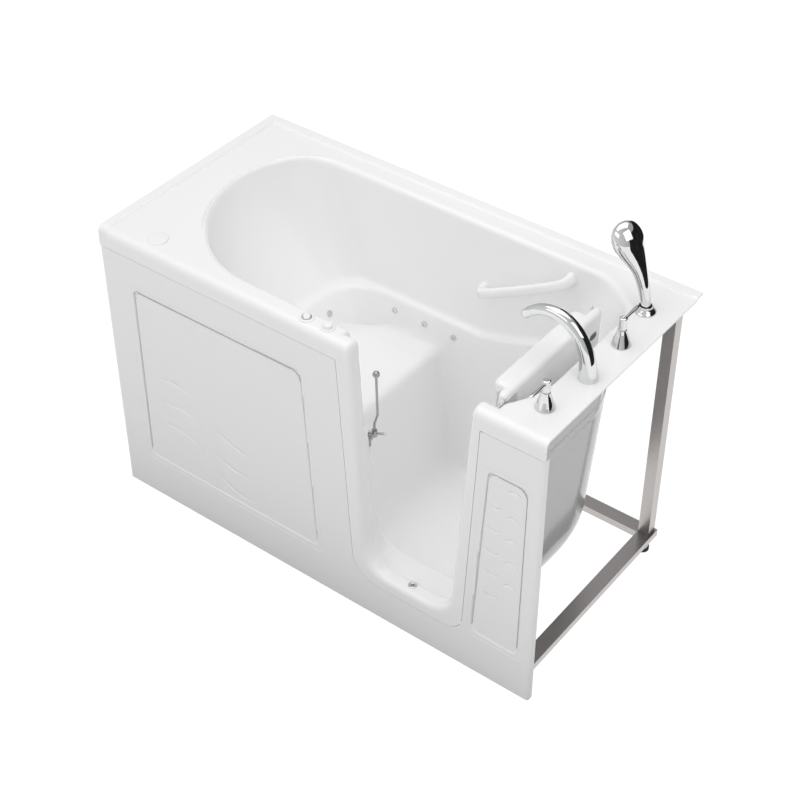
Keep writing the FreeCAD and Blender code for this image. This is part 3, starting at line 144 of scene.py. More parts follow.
def metal(name, light, dark, rough, scale=40.0, stretch=None, bump=0.02, detail=4.0):
    m, t, s = material(name)
    s.inputs["Metallic"].default_value = 1.0
    tone = noise(t, scale, detail, 0.6, stretch)
    c = ramp(t, tone.outputs["Fac"], [(0.3, dark), (0.7, light)])
    t.links.new(c.outputs["Color"], s.inputs["Base Color"])
    r = spread(t, tone.outputs["Fac"], rough[0], rough[1])
    t.links.new(r.outputs["Result"], s.inputs["Roughness"])
    if bump:
        bumped(t, s, tone.outputs["Fac"], bump, 0.0004)
    return m


def plastic(name, light, dark, rough, scale=60.0, bump=0.12, grain=420.0, specular=0.4):
    m, t, s = material(name)
    tone = noise(t, scale, 4.0)
    c = ramp(t, tone.outputs["Fac"], [(0.3, dark), (0.7, light)])
    t.links.new(c.outputs["Color"], s.inputs["Base Color"])
    r = spread(t, tone.outputs["Fac"], rough[0], rough[1])
    t.links.new(r.outputs["Result"], s.inputs["Roughness"])
    g = noise(t, grain, 3.0)
    bumped(t, s, g.outputs["Fac"], bump, 0.0005)
    s.inputs["Specular IOR Level"].default_value = specular
    return m


M = {
    "tub_white": gloss_white("gel_coat_tub", (0.942, 0.942, 0.942), (0.939, 0.939, 0.939), (0.19, 0.21)),
    "skirt_white": gloss_white("gel_coat_skirt", (0.936, 0.936, 0.936), (0.933, 0.933, 0.933), (0.25, 0.27), 0.05, 0.25),
    "door_white": gloss_white("gel_coat_door", (0.942, 0.942, 0.942), (0.939, 0.939, 0.939), (0.19, 0.21)),
    "fitting_white": gloss_white("moulded_white", (0.935, 0.935, 0.935), (0.920, 0.920, 0.920), (0.2, 0.28), 0.15),
    "chrome": metal("chrome_plate", (0.745, 0.75, 0.755), (0.715, 0.72, 0.725), (0.03, 0.06), 55.0),
    "frame_steel": metal("brushed_stainless", (0.55, 0.525, 0.515), (0.45, 0.43, 0.42), (0.28, 0.38), 30.0, (40.0, 40.0, 3.0), 0.05),
    "hinge_steel": metal("satin_hinge_steel", (0.92, 0.92, 0.92), (0.88, 0.88, 0.88), (0.36, 0.46), 30.0, (4.0, 4.0, 90.0), 0.05),
    "rubber_black": plastic("black_rubber", (0.035, 0.035, 0.036), (0.018, 0.018, 0.019), (0.55, 0.8), 90.0, 0.3),
    "seal_grey": plastic("pale_seal_rubber", (0.80, 0.80, 0.79), (0.74, 0.74, 0.73), (0.45, 0.6), 90.0, 0.2),
    "pipe_white": plastic("pipe_white", (0.84, 0.84, 0.82), (0.76, 0.76, 0.74), (0.32, 0.45)),
    "dark_plastic": plastic("dark_plastic", (0.06, 0.06, 0.062), (0.03, 0.03, 0.032), (0.3, 0.45)),
    "grey_plastic": plastic("grey_plastic", (0.36, 0.37, 0.38), (0.28, 0.29, 0.30), (0.35, 0.5)),
    "motor_paint": plastic("motor_paint", (0.14, 0.15, 0.16), (0.09, 0.095, 0.1), (0.35, 0.5), 120.0, 0.2),
    "zinc_steel": metal("zinc_plate", (0.70, 0.70, 0.68), (0.55, 0.56, 0.55), (0.25, 0.45), 120.0),
}
# Darker grey for the outside of the moulding; the same grey paints shade into the skirt's panel gaps.
OUTSIDE_AND_GAP_SHADE = gloss_white("gel_coat_outside_and_painted_gap_shade", (0.560, 0.560, 0.560), (0.540, 0.540, 0.540), (0.12, 0.16), 0.2, 0.3)
LATCH = metal("latch_plate", (0.46, 0.46, 0.465), (0.40, 0.40, 0.405), (0.10, 0.16), 55.0)
SLOT_OF = {p["node"]: p["material_slot"] for p in frame["record"]["subparts"]}


# ---------------------------------------------------------------- mesh helpers
def build(name, verts, faces, slot, body, nodes=(), normals=None, mm=True, outside_and_shade_faces=None):
    """A triangle or quad mesh from arrays, riding on a body. The faces in the given range take the darker
    grey of the moulding's outside; on the skirt they are the panel-gap faces, where the grey is painted shade."""
    v = put(verts) if mm else np.asarray(verts, dtype=np.float64)
    me = bpy.data.meshes.new(name)
    f = np.asarray(faces, dtype=np.int32)
    n = f.shape[1]
    me.vertices.add(len(v))
    me.vertices.foreach_set("co", v.ravel())
    me.loops.add(f.size)
    me.loops.foreach_set("vertex_index", f.ravel())
    me.polygons.add(len(f))
    me.polygons.foreach_set("loop_start", np.arange(0, f.size, n, dtype=np.int32))
    me.polygons.foreach_set("use_smooth", np.ones(len(f), dtype=bool))
    if outside_and_shade_faces is not None:
        which = np.zeros(len(f), dtype=np.int32)
        which[outside_and_shade_faces[0]:outside_and_shade_faces[1]] = 1
        me.polygons.foreach_set("material_index", which)
    me.update(calc_edges=True)
    me.validate()
    if normals is not None:
        me.normals_split_custom_set_from_vertices(np.asarray(normals, dtype=np.float64).tolist())
    o = bpy.data.objects.new(name, me)
    bpy.context.scene.collection.objects.link(o)
    me.materials.append(M[slot])
    if outside_and_shade_faces is not None:
        me.materials.append(OUTSIDE_AND_GAP_SHADE)
    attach(o, body)
    if nodes:
        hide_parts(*nodes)
    return o


def smin(a, b, k):
    h = np.maximum(k - np.abs(a - b), 0.0) / k
    return np.minimum(a, b) - h * h * k * 0.25


def smax(a, b, k):
    h = np.maximum(k - np.abs(a - b), 0.0) / k
    return np.maximum(a, b) + h * h * k * 0.25


def step01(t):
    t = np.clip(t, 0.0, 1.0)
    return t * t * (3.0 - 2.0 * t)


def nets(f, low, high, pitch):
    """Quads on the surface f = 0, one vertex in each cell that it crosses."""
    xs = np.arange(low[0], high[0] + pitch / 2, pitch)
    ys = np.arange(low[1], high[1] + pitch / 2, pitch)
    zs = np.arange(low[2], high[2] + pitch / 2, pitch)
    vals = np.empty((len(xs), len(ys), len(zs)), dtype=np.float32)
    for i in range(0, len(xs), 12):
        part = xs[i:i + 12]
        g = np.meshgrid(part, ys, zs, indexing="ij")
        vals[i:i + 12] = f(g[0].astype(np.float32), g[1].astype(np.float32), g[2].astype(np.float32))
    ins = vals < 0
    nx, ny, nz = vals.shape
    corner = [(0, 0, 0), (1, 0, 0), (0, 1, 0), (1, 1, 0), (0, 0, 1), (1, 0, 1), (0, 1, 1), (1, 1, 1)]
    count = np.zeros((nx - 1, ny - 1, nz - 1), dtype=np.int8)
    for a, b, c in corner:
        count += ins[a:nx - 1 + a, b:ny - 1 + b, c:nz - 1 + c]
    act = np.argwhere((count > 0) & (count < 8))
    idx = np.full(count.shape, -1, dtype=np.int64)
    idx[act[:, 0], act[:, 1], act[:, 2]] = np.arange(len(act))
    cv = np.stack([vals[act[:, 0] + a, act[:, 1] + b, act[:, 2] + c] for a, b, c in corner], axis=1).astype(np.float64)
    cp = np.array(corner, dtype=np.float64)
    pos = np.zeros((len(act), 3))
    hits = np.zeros(len(act))
    for a in range(8):
        for b in range(a + 1, 8):
            if np.abs(cp[a] - cp[b]).sum() != 1:
                continue
            cross = (cv[:, a] < 0) != (cv[:, b] < 0)
            t = cv[cross, a] / (cv[cross, a] - cv[cross, b])
            pos[cross] += cp[a] + t[:, None] * (cp[b] - cp[a])
            hits[cross] += 1
    verts = np.array(low, dtype=np.float64) + pitch * (act + pos / hits[:, None])
    quads = []
    for ax in range(3):
        o1, o2 = [(1, 2), (2, 0), (0, 1)][ax]
        sl_a = [slice(1, -1)] * 3
        sl_b = [slice(1, -1)] * 3
        sl_a[ax] = slice(0, -1)
        sl_b[ax] = slice(1, None)
        a_in = ins[tuple(sl_a)]
        b_in = ins[tuple(sl_b)]
        e = np.argwhere(a_in != b_in)
        flip = a_in[e[:, 0], e[:, 1], e[:, 2]]
        base = e.copy()
        for k in range(3):
            if k != ax:
                base[:, k] += 1
        ring = []
        for s1, s2 in ((-1, -1), (0, -1), (0, 0), (-1, 0)):
            c = base.copy()
            c[:, o1] += s1
            c[:, o2] += s2
            ring.append(idx[c[:, 0], c[:, 1], c[:, 2]])
        q = np.stack(ring, axis=1)
        q[~flip] = q[~flip][:, ::-1]
        quads.append(q)
    quads = np.concatenate(quads)
    return verts, quads[(quads >= 0).all(axis=1)]


def slope(f, v, h=0.25):
    g = np.empty_like(v)
    for k in range(3):
        a, b = v.copy(), v.copy()
        a[:, k] += h
        b[:, k] -= h
        g[:, k] = (f(a[:, 0], a[:, 1], a[:, 2]) - f(b[:, 0], b[:, 1], b[:, 2])) / (2 * h)
    return g


def settle(f, v, rounds=4, reach=4.0):
    for _ in range(rounds):
        g = slope(f, v)
        d = f(v[:, 0], v[:, 1], v[:, 2])
        s = np.clip(d / np.maximum((g * g).sum(axis=1), 1e-4), -reach, reach)
        v = v - g * s[:, None]
    return v


def unit(v):
    return v / np.maximum(np.linalg.norm(v, axis=1), 1e-9)[:, None]


def tris_of(q):
    q = np.asarray(q)
    return np.concatenate([q[:, [0, 1, 2]], q[:, [0, 2, 3]]])


def thin(v, t, ratio):
    """Fewer triangles where the surface is flat."""
    me = bpy.data.meshes.new("thinning")
    me.vertices.add(len(v))
    me.vertices.foreach_set("co", (v / 1000.0).ravel())
    me.loops.add(t.size)
    me.loops.foreach_set("vertex_index", t.astype(np.int32).ravel())
    me.polygons.add(len(t))
    me.polygons.foreach_set("loop_start", np.arange(0, t.size, 3, dtype=np.int32))
    me.update(calc_edges=True)
    me.validate()
    o = bpy.data.objects.new("thinning", me)
    bpy.context.scene.collection.objects.link(o)
    mod = o.modifiers.new("d", "DECIMATE")
    mod.ratio = ratio
    mod.use_collapse_triangulate = True
    dg = bpy.context.evaluated_depsgraph_get()
    ev = o.evaluated_get(dg)
    em = ev.to_mesh()
    nv = np.empty(len(em.vertices) * 3)
    em.vertices.foreach_get("co", nv)
    em.calc_loop_triangles()
    nt = np.empty(len(em.loop_triangles) * 3, dtype=np.int32)
    em.loop_triangles.foreach_get("vertices", nt)
    ev.to_mesh_clear()
    bpy.data.objects.remove(o)
    bpy.data.meshes.remove(me)
    return nv.reshape(-1, 3) * 1000.0, nt.reshape(-1, 3).astype(np.int64)


def clip(v, t, field):
    """Keep the side where field <= 0, cutting triangles along it."""
    c = field(v[:, 0], v[:, 1], v[:, 2])
    c = np.where(np.abs(c) < 1e-6, -1e-6, c)
    keep = c < 0
    n = keep[t].sum(axis=1)
    whole = t[n == 3]
    out = [whole]
    extra = []
    book = {}
    count = len(v)

    def cut_at(a, b):
        nonlocal count
        key = (a, b) if a < b else (b, a)
        if key not in book:
            s = c[a] / (c[a] - c[b])
            extra.append(v[a] + s * (v[b] - v[a]))
            book[key] = count
            count += 1
        return book[key]

    fresh = []
    for tri in t[(n == 1) | (n == 2)].tolist():
        k = [bool(keep[i]) for i in tri]
        if sum(k) == 1:
            i = k.index(True)
            a, b, d = tri[i], tri[(i + 1) % 3], tri[(i + 2) % 3]
            fresh.append((a, cut_at(a, b), cut_at(a, d)))
        else:
            i = k.index(False)
            a, b, d = tri[i], tri[(i + 1) % 3], tri[(i + 2) % 3]
            p, q = cut_at(a, b), cut_at(a, d)
            fresh.append((p, b, d))
            fresh.append((p, d, q))
    if fresh:
        out.append(np.array(fresh, dtype=np.int64))
        v = np.concatenate([v, np.array(extra)])
    t = np.concatenate(out)
    used = np.unique(t)
    back = np.full(len(v), -1, dtype=np.int64)
    back[used] = np.arange(len(used))
    return v[used], back[t]


def rims(t):
    """Directed edges that belong to one triangle only."""
    e = np.concatenate([t[:, [0, 1]], t[:, [1, 2]], t[:, [2, 0]]])
    n = int(t.max()) + 1
    key = e[:, 0] * n + e[:, 1]
    rev = e[:, 1] * n + e[:, 0]
    return e[~np.isin(key, rev)]


def sheeted(v, t, nrm, thick):
    """A sheet of real thickness behind a surface, with its cut edges closed."""
    n = len(v)
    w = v - nrm * thick
    e = rims(t)
    a, b = e[:, 0], e[:, 1]
    side = np.cross(v[b] - v[a], nrm[a] + nrm[b])
    side = unit(side)
    sv = np.concatenate([v[a], v[b], w[b], w[a]])
    m = len(e)
    sn = np.concatenate([side] * 4)
    base = 2 * n
    k = np.arange(m)
    st = np.concatenate([
        np.stack([base + k + m, base + k, base + k + 2 * m], axis=1),
        np.stack([base + k, base + k + 3 * m, base + k + 2 * m], axis=1)])
    verts = np.concatenate([v, w, sv])
    tris = np.concatenate([t, t[:, ::-1] + n, st])
    norms = np.concatenate([nrm, -nrm, sn])
    return verts, tris, norms


# ---------------------------------------------------------------- tub shell
def ell(px, py, a, b):
    q = np.sqrt((px / a) ** 2 + (py / b) ** 2)
    g = np.sqrt((px / (a * a)) ** 2 + (py / (b * b)) ** 2)
    return (q - 1.0) * q / np.maximum(g, 1e-5)


def flat(x, y, ax, ay, bx, by, side):
    """Signed distance from the upright plane through two points."""
    tx, ty = bx - ax, by - ay
    n = np.sqrt(tx * tx + ty * ty)
    return side * ((x - ax) * ty - (y - ay) * tx) / n


def basin_plan(x, y, z):
    u = np.clip((TOP - z) / 363.0, -0.12, 1.1)
    uc = np.clip(u, 0.0, 1.0)
    xl = 163.0 + 117.6 * u + 101.4 * u * u
    yf = 68.0 + 22.0 * u
    yb = 672.0 - 22.0 * u
    xr = 1406.0 - 20.0 * u
    af = 337.0 - 227.0 * uc ** 1.4
    bf = 362.0 - 242.0 * uc ** 1.2
    ab = 162.0 - 52.0 * uc
    bb = 242.0 - 122.0 * uc
    side = np.maximum(np.maximum(xl - x, yf - y), y - yb)
    px, py = x - (xl + af), y - (yf + bf)
    side = np.where((px < 0) & (py < 0), ell(px, py, af, bf), side)
    px, py = x - (xl + ab), y - (yb - bb)
    side = np.where((px < 0) & (py > 0), ell(px, py, ab, bb), side)
    cf = flat(x, y, 1352.0, yf, xr, 165.0 - 15.0 * u, 1.0)
    deep = 1.0 - (1.0 - uc) ** 2
    cb = flat(x, y, 1285.0 - 85.0 * deep, yb, xr, 590.0 - 75.0 * deep, -1.0)
    right = smax(smax(x - xr, cf, 30.0), cb, 50.0)
    return smax(side, right, 26.0)


def shell_void(x, y, z):
    s = step01((x - 1080.0) / 170.0)
    ledge = np.interp(x, [890.0, 959.0, 1028.0, 1069.0, 1120.0], [604.0, 620.0, 642.0, 658.0, 666.0]).astype(x.dtype)
    upper = smax(basin_plan(x, y, z), ledge - z, 14.0)
    down = 600.0 - z
    v = np.clip(down / 520.0, -0.2, 1.05)
    back = y - (630.0 - down * 0.05 + 20.0 * s)
    front = (110.0 + down * 0.0558) - y
    right = x - (1386.0 - down * 0.0538)
    cf = flat(x, y, 1352.0, 90.0 + 46.0 * v, 1386.0 - 28.0 * v, 150.0 + 27.0 * v, 1.0)
    rest = (400.0 + down * 0.682 - x) / 1.2105
    riser = (745.0 + (490.0 - z) * 0.195 - x) / 1.019
    seat = smax(rest, 490.0 - z, 46.0)
    foot = smax(riser, 80.0 - z, 80.0)
    profile = smin(seat, foot, 28.0)
    walls = smax(smax(smax(right, cf, 50.0), back, 225.0), front, 50.0)
    low = smax(profile, walls, 40.0 + 24.0 * step01((x - 740.0) / 120.0) + 124.0 * step01((x - 1130.0) / 150.0))
    low = np.maximum(low, np.maximum(smax(rest, back, 140.0), smax(rest, front, 140.0)))
    low = np.maximum(low, z - 700.0)
    void = smin(upper, low, 9.0 * (1.0 - s) + 5.0)
    h = TOP - z
    slot = smax(smax(905.0 + 0.058 * h - x, x - (1300.0 - 0.068 * h), 12.0), 170.0 - z, 92.0)
    slot = np.maximum(slot, y - 142.0)
    rebate = smax(smax(861.0 + 0.058 * h - x, x - 1351.0, 12.0), 162.0 - z, 70.0)
    rebate = np.maximum(smax(rebate, 49.0 - y, 4.0), y - 150.0)
    return smin(smin(void, slot, 18.0), rebate, 9.0)


def deck_top(x, y):
    lip = np.maximum(step01((35.0 - x) / 9.0), step01((y - 727.0) / 9.0))
    rim = basin_plan(x, y, np.full_like(x, TOP))
    near = step01((305.0 - x) / 110.0)
    bead = 11.0 * near * step01((19.0 - rim) / 11.0)
    return TOP + 6.0 * lip + bead


def shell(x, y, z):
    block = smax(z - deck_top(x, y), -y, 26.0)
    return smax(block, -shell_void(x, y, z), 17.0)


def surround(x, z, grow=0.0):
    """Distance outside the apron and the U round the doorway, seen from the front."""
    left = (864.0 + (904.0 - z) * 48.0 / 776.0 - x) / 1.0019
    right = (x - (1328.0 - (904.0 - z) * 39.0 / 776.0)) / 1.0013
    low = 128.0 - z
    r1, r2 = 90.0, 60.0
    a = np.where((left > -r1) & (low > -r1), np.hypot(left + r1, low + r1) - r1, np.maximum(left, low))
    b = np.where((right > -r2) & (low > -r2), np.hypot(right + r2, low + r2) - r2, np.maximum(right, low))
    return np.minimum(np.maximum(a, b), 904.0 - z) - grow


HOLES = [(1080.0, 370.0, 80.0, 26.0), (739.0, 37.0, 963.0, 15.8), (811.0, 37.0, 963.0, 11.2), (1467.5, 275.0, 963.0, 17.0),
         (1443.5, 115.0, 963.0, 15.5), (1461.0, 444.0, 963.0, 15.5), (1437.5, 604.0, 963.0, 17.0), (176.0, 62.0, 963.0, 23.0),
         (1097.0, 34.0, 170.0, 9.8)]

PITCH = 5.0
sv, sq = nets(shell, (-12.0, -26.0, 40.0), (1536.0, 774.0, 998.0), PITCH)
sv = settle(shell, sv, 5)
st = tris_of(sq)
sv, st = clip(sv, st, lambda x, y, z: np.minimum(surround(x, z), 15.0 - y))
for hx, hy, hz, hr in HOLES:
    sv, st = clip(sv, st, lambda x, y, z: np.where(np.abs(z - hz) < 24.0, hr - np.hypot(x - hx, y - hy), -1.0))
sv, st = thin(sv, st, 0.30)
sv = settle(shell, sv, 3, 2.0)
sv, st = clip(sv, st, lambda x, y, z: -x)
sv, st = clip(sv, st, lambda x, y, z: x - LONG)
sv, st = clip(sv, st, lambda x, y, z: y - WIDE)
sn = unit(slope(shell, sv))
tv, tt, tn = sheeted(sv, st, sn, 6.0)
build("tub_moulding", tv, tt, "tub_white", "tub",
      ("tub_shell_deck", "tub_shell_door_surround", "tub_shell_walls", "tub_shell_seat", "tub_shell_foot_well"), tn, outside_and_shade_faces=(len(st), 2 * len(st)))


# ---------------------------------------------------------------- front skirt
def poly_sdf(x, z, pts, radius):
    """Distance from a rounded polygon, corners given in order."""
    n = len(pts)
    cx, cz = sum(p[0] for p in pts) / n, sum(p[1] for p in pts) / n
    d = None
    for i in range(n):
        (ax, az), (bx, bz) = pts[i], pts[(i + 1) % n]
        tx, tz = bx - ax, bz - az
        ln = math.hypot(tx, tz)
        nx, nz = tz / ln, -tx / ln
        if (cx - ax) * nx + (cz - az) * nz > 0:
            nx, nz = -nx, -nz
        e = (x - ax) * nx + (z - az) * nz
        d = e if d is None else smax(d, e, radius[i] if isinstance(radius, (list, tuple)) else radius)
    return d


LEFT_FIELD = [(111.0, 160.0), (115.0, 791.0), (736.0, 795.0), (775.0, 155.0)]
RIGHT_FIELD = [(1322.0, 161.0), (1358.0, 781.0), (1481.0, 780.0), (1477.0, 158.0)]
FROWN = [[(168, 493), (225, 499), (285, 494), (333, 465)], [(173, 406), (235, 410), (295, 406), (335, 373)],
         [(166, 315), (225, 322), (285, 314), (347, 283)]]
SMILE = [[(380, 420), (421, 395), (470, 374), (551, 371)], [(375, 322), (412, 294), (470, 278), (544, 280)],
         [(381, 261), (413, 218), (463, 193), (546, 196)]]


def curve_through(pts, n=48):
    p = np.array(pts, dtype=float)
    s = np.concatenate([[0], np.cumsum(np.hypot(*np.diff(p, axis=0).T))])
    q = np.linspace(0, s[-1], n)
    out = np.empty((n, 2))
    for k in range(2):
        c = np.polyfit(s, p[:, k], len(p) - 1)
        out[:, k] = np.polyval(c, q)
    return out


def stroke(x, z, pts, half, deep, down):
    """A carved crescent: one steep edge, one that runs out gently."""
    line = curve_through(pts)
    h = np.zeros_like(x)
    pick = (x > line[:, 0].min() - 14) & (x < line[:, 0].max() + 14) & (z > line[:, 1].min() - 26) & (z < line[:, 1].max() + 26)
    px, pz = x[pick], z[pick]
    d2 = (px[:, None] - line[None, :, 0]) ** 2 + (pz[:, None] - line[None, :, 1]) ** 2
    i = d2.argmin(axis=1)
    t = i / (len(line) - 1.0)
    tan = np.gradient(line, axis=0)
    tan = tan / np.linalg.norm(tan, axis=1)[:, None]
    v = -(px - line[i, 0]) * tan[i, 1] + (pz - line[i, 1]) * tan[i, 0]
    along = (px - line[i, 0]) * tan[i, 0] + (pz - line[i, 1]) * tan[i, 1]
    w = half * np.sin(np.pi * np.clip(t, 0.0, 1.0)) ** 0.75
    w = np.where((np.abs(along) > 3.0), 0.0, w)
    w = np.maximum(w, 1e-3)
    q = (w - v) / (2.0 * w) if down else (v + w) / (2.0 * w)
    inside = (q > 0) & (q < 1)
    cut_in = deep * (w / half) * step01(q / 0.32) * (1.0 - step01((q - 0.30) / 0.70))
    h[pick] = np.where(inside, cut_in, 0.0)
    return h


FIELDS = ((LEFT_FIELD, [20.0, 18.0, 32.0, 20.0]), (RIGHT_FIELD, [24.0, 24.0, 36.0, 22.0]))


def relief(x, z):
    """How far the skirt's face lies behind its front plane."""
    h = np.zeros_like(x)
    for pts, rad in FIELDS:
        s = poly_sdf(x, z, pts, rad)
        low = step01((206.0 - z) / 30.0)
        wide = 2.5 + 2.3 * step01((z - 750.0) / 14.0)
        edge = 1.1 * step01((18.0 - s) / 6.0) + low * 2.8 * step01((0.6 - s) / 4.5)
        edge = edge + (1.0 - low) * (6.6 * step01((0.5 - s) / 0.8) - 3.8 * step01((-wide - s) / 0.8))
        h = np.maximum(h, edge)
    for pts in FROWN:
        h = h + stroke(x, z, pts, 9.5, 3.4, True)
    for pts in SMILE:
        h = h + stroke(x, z, pts, 9.5, 3.4, False)
    for zc in (743, 652, 571, 488, 403):
        h = h + stroke(x, z, [(1416, zc - 9), (1440, zc + 3), (1464, zc - 8)], 7.5, 3.4, True)
    for zc in (667, 584, 501, 423, 338):
        h = h + stroke(x, z, [(1357, zc + 7), (1381, zc - 4), (1405, zc + 7)], 7.5, 3.4, False)
    return h


def score(v, t, c):
    """Lay mesh edges along c = 0 through the triangles that it crosses."""
    c = np.where(np.abs(c) < 1e-6, 1e-6, c)
    up = c > 0
    n = up[t].sum(axis=1)
    mixed = (n == 1) | (n == 2)
    extra, fresh, book = [], [], {}

    def cut_at(a, b):
        key = (a, b) if a < b else (b, a)
        if key not in book:
            book[key] = len(v) + len(extra)
            extra.append(v[a] + c[a] / (c[a] - c[b]) * (v[b] - v[a]))
        return book[key]

    for tri in t[mixed].tolist():
        k = [bool(up[i]) for i in tri]
        lone = k.index(True) if sum(k) == 1 else k.index(False)
        a, b, e = tri[lone], tri[(lone + 1) % 3], tri[(lone + 2) % 3]
        p, q = cut_at(a, b), cut_at(a, e)
        fresh += [(a, p, q), (p, b, e), (p, e, q)]
    if not fresh:
        return v, t
    return np.concatenate([v, np.array(extra)]), np.concatenate([t[~mixed], np.array(fresh, dtype=np.int64)])


SKIRT_R = 7.0


def skirt_face(patches, carved):
    """The face of the skirt in plain patches, with its rounded ends."""
    r = SKIRT_R
    grids = []
    for x0, x1, z0, z1, p in patches:
        xs = np.linspace(x0, x1, max(2, int(round((x1 - x0) / p)) + 1))
        zs = np.linspace(z0, z1, max(2, int(round((z1 - z0) / p)) + 1))
        grids.append((xs, np.zeros_like(xs), zs))
    turn = np.radians(np.linspace(0.0, 90.0, 7))
    zs = np.linspace(4.0, 902.0, 60)
    grids.append((np.concatenate([[0.0, 0.0], r - r * np.cos(turn)]), np.concatenate([[20.0, 14.0], r - r * np.sin(turn)]), zs))
    grids.append((np.concatenate([LONG - r + r * np.sin(turn), [LONG, LONG]]), np.concatenate([r - r * np.cos(turn), [14.0, 20.0]]), zs))
    vs, ts, base = [], [], 0
    for xs, ys, zs in grids:
        gx, gz = np.meshgrid(xs, zs, indexing="ij")
        gy = np.repeat(ys[:, None], len(zs), axis=1)
        vs.append(np.stack([gx.ravel(), gy.ravel(), gz.ravel()], axis=1))
        nz = len(zs)
        i, j = np.meshgrid(np.arange(len(xs) - 1), np.arange(nz - 1), indexing="ij")
        k = (i * nz + j).ravel()
        ts.append(tris_of(np.stack([k, k + nz, k + nz + 1, k + 1], axis=1)) + base)
        base += gx.size
    v, t = np.concatenate(vs), np.concatenate(ts).astype(np.int64)
    v, t = clip(v, t, lambda x, y, z: 2.0 - surround(x, z))
    if carved:
        for pts, rad in FIELDS:
            for level in (18.0, 15.0, 12.0, 0.5, 0.1, -0.3, -2.5, -2.9, -3.3, -4.8, -5.2, -5.6):
                v, t = score(v, t, poly_sdf(v[:, 0], v[:, 2], pts, rad) - level)
    flat_part = (v[:, 0] >= r) & (v[:, 0] <= LONG - r)
    nrm = np.zeros_like(v)
    nrm[:, 1] = -1.0
    if carved:
        h = 0.15
        nrm[:, 0] = (relief(v[:, 0] + h, v[:, 2]) - relief(v[:, 0] - h, v[:, 2])) / (2 * h)
        nrm[:, 2] = (relief(v[:, 0], v[:, 2] + h) - relief(v[:, 0], v[:, 2] - h)) / (2 * h)
        v[flat_part, 1] = relief(v[flat_part, 0], v[flat_part, 2])
    for end, sign in ((0.0, -1.0), (LONG, 1.0)):
        mid = end - sign * r
        corner = (sign * (v[:, 0] - mid) > 0)
        nrm[corner, 0] = v[corner, 0] - mid
        nrm[corner, 1] = np.minimum(v[corner, 1] - r, 0.0)
        nrm[corner, 2] = 0.0
    nrm = unit(nrm)
    tri_n = np.cross(v[t[:, 1]] - v[t[:, 0]], v[t[:, 2]] - v[t[:, 0]])
    wrong = (tri_n * nrm[t].mean(axis=1)).sum(axis=1) < 0
    t[wrong] = t[wrong][:, ::-1]
    return v, t, nrm


def skirt_mesh():
    """A finely cut face on a plain back, with closed edges; the panel-gap faces above the bottom edge come first, to
    be painted darker grey as shade.
    """
    m = 1.0
    r = SKIRT_R
    v, t, n = skirt_face([(r, 150.0, 4.0, 902.0, 8 * m), (150.0, 572.0, 4.0, 180.0, 8 * m), (150.0, 572.0, 180.0, 508.0, 2.4 * m),
                          (150.0, 572.0, 508.0, 902.0, 8 * m), (572.0, 1340.0, 4.0, 902.0, 10 * m), (1340.0, 1475.0, 4.0, 320.0, 8 * m),
                          (1340.0, 1475.0, 320.0, 760.0, 2.4 * m), (1340.0, 1475.0, 760.0, 902.0, 8 * m), (1475.0, LONG - r, 4.0, 902.0, 8 * m)], True)
    # Painted shade: the faces in the panel gaps, except along the bottom edge, are put first and take the darker grey.
    mid = v[t].mean(axis=1)
    painted_gap_shade = np.zeros(len(t), dtype=bool)
    for pts, rad in FIELDS:
        d = poly_sdf(mid[:, 0], mid[:, 2], pts, rad)
        painted_gap_shade |= (d < -0.35) & (d > -3.2 - 2.3 * step01((mid[:, 2] - 750.0) / 14.0)) & (mid[:, 2] > 186.0)
    t = np.concatenate([t[painted_gap_shade], t[~painted_gap_shade]])
    pv, pt, pn = skirt_face([(r, LONG - r, 4.0, 902.0, 12.0)], False)
    bv, bt, bn = sheeted(pv, pt, pn, 7.2)
    front, count = len(pt), len(pv)
    return (np.concatenate([v, bv[count:]]), np.concatenate([t, bt[front:] - count + len(v)]), np.concatenate([n, bn[count:]]), int(painted_gap_shade.sum()))


kv, kt, kn, shade_count = skirt_mesh()
# The first faces, in the panel gaps, take the darker grey as painted shade.
build("front_skirt", kv, kt, "skirt_white", "tub", ("front_panel",), kn, outside_and_shade_faces=(0, shade_count))


# ---------------------------------------------------------------- door
def door(x, y, z):
    h = TOP - z
    far_f = 548.0 - 0.058 * h
    far_p = 501.0 - 0.058 * h
    near_p = 121.0 + 0.068 * h
    flange = smax(smax(y - far_f, 87.0 - y, 14.0), 166.0 - z, 60.0)
    flange = smax(flange, smax(1316.0 - x, x - 1344.0, 6.0), 15.0)
    plug = smax(smax(y - far_p, near_p - y, 14.0), 176.0 - z, 90.0)
    plug = smax(plug, smax(1280.0 - x, x - 1330.0, 6.0), 18.0)
    body = smin(flange, plug, 5.0)
    body = smax(body, z - TOP, 14.0)
    pull = np.hypot(np.maximum(np.abs(y - 503.0) - 8.0, 0.0), z - 893.0) - 9.4
    return smax(body, -np.maximum(pull, 1327.5 - x), 2.5)


dv, dq = nets(door, (1272.0, 78.0, 156.0), (1352.0, 560.0, 974.0), 4.0)
dv = settle(door, dv, 5)
dt = tris_of(dq)
dv, dt = thin(dv, dt, 0.35)
dv = settle(door, dv, 3, 2.0)
build("door_leaf", dv, dt, "door_white", "door", ("door_panel",), unit(slope(door, dv)))


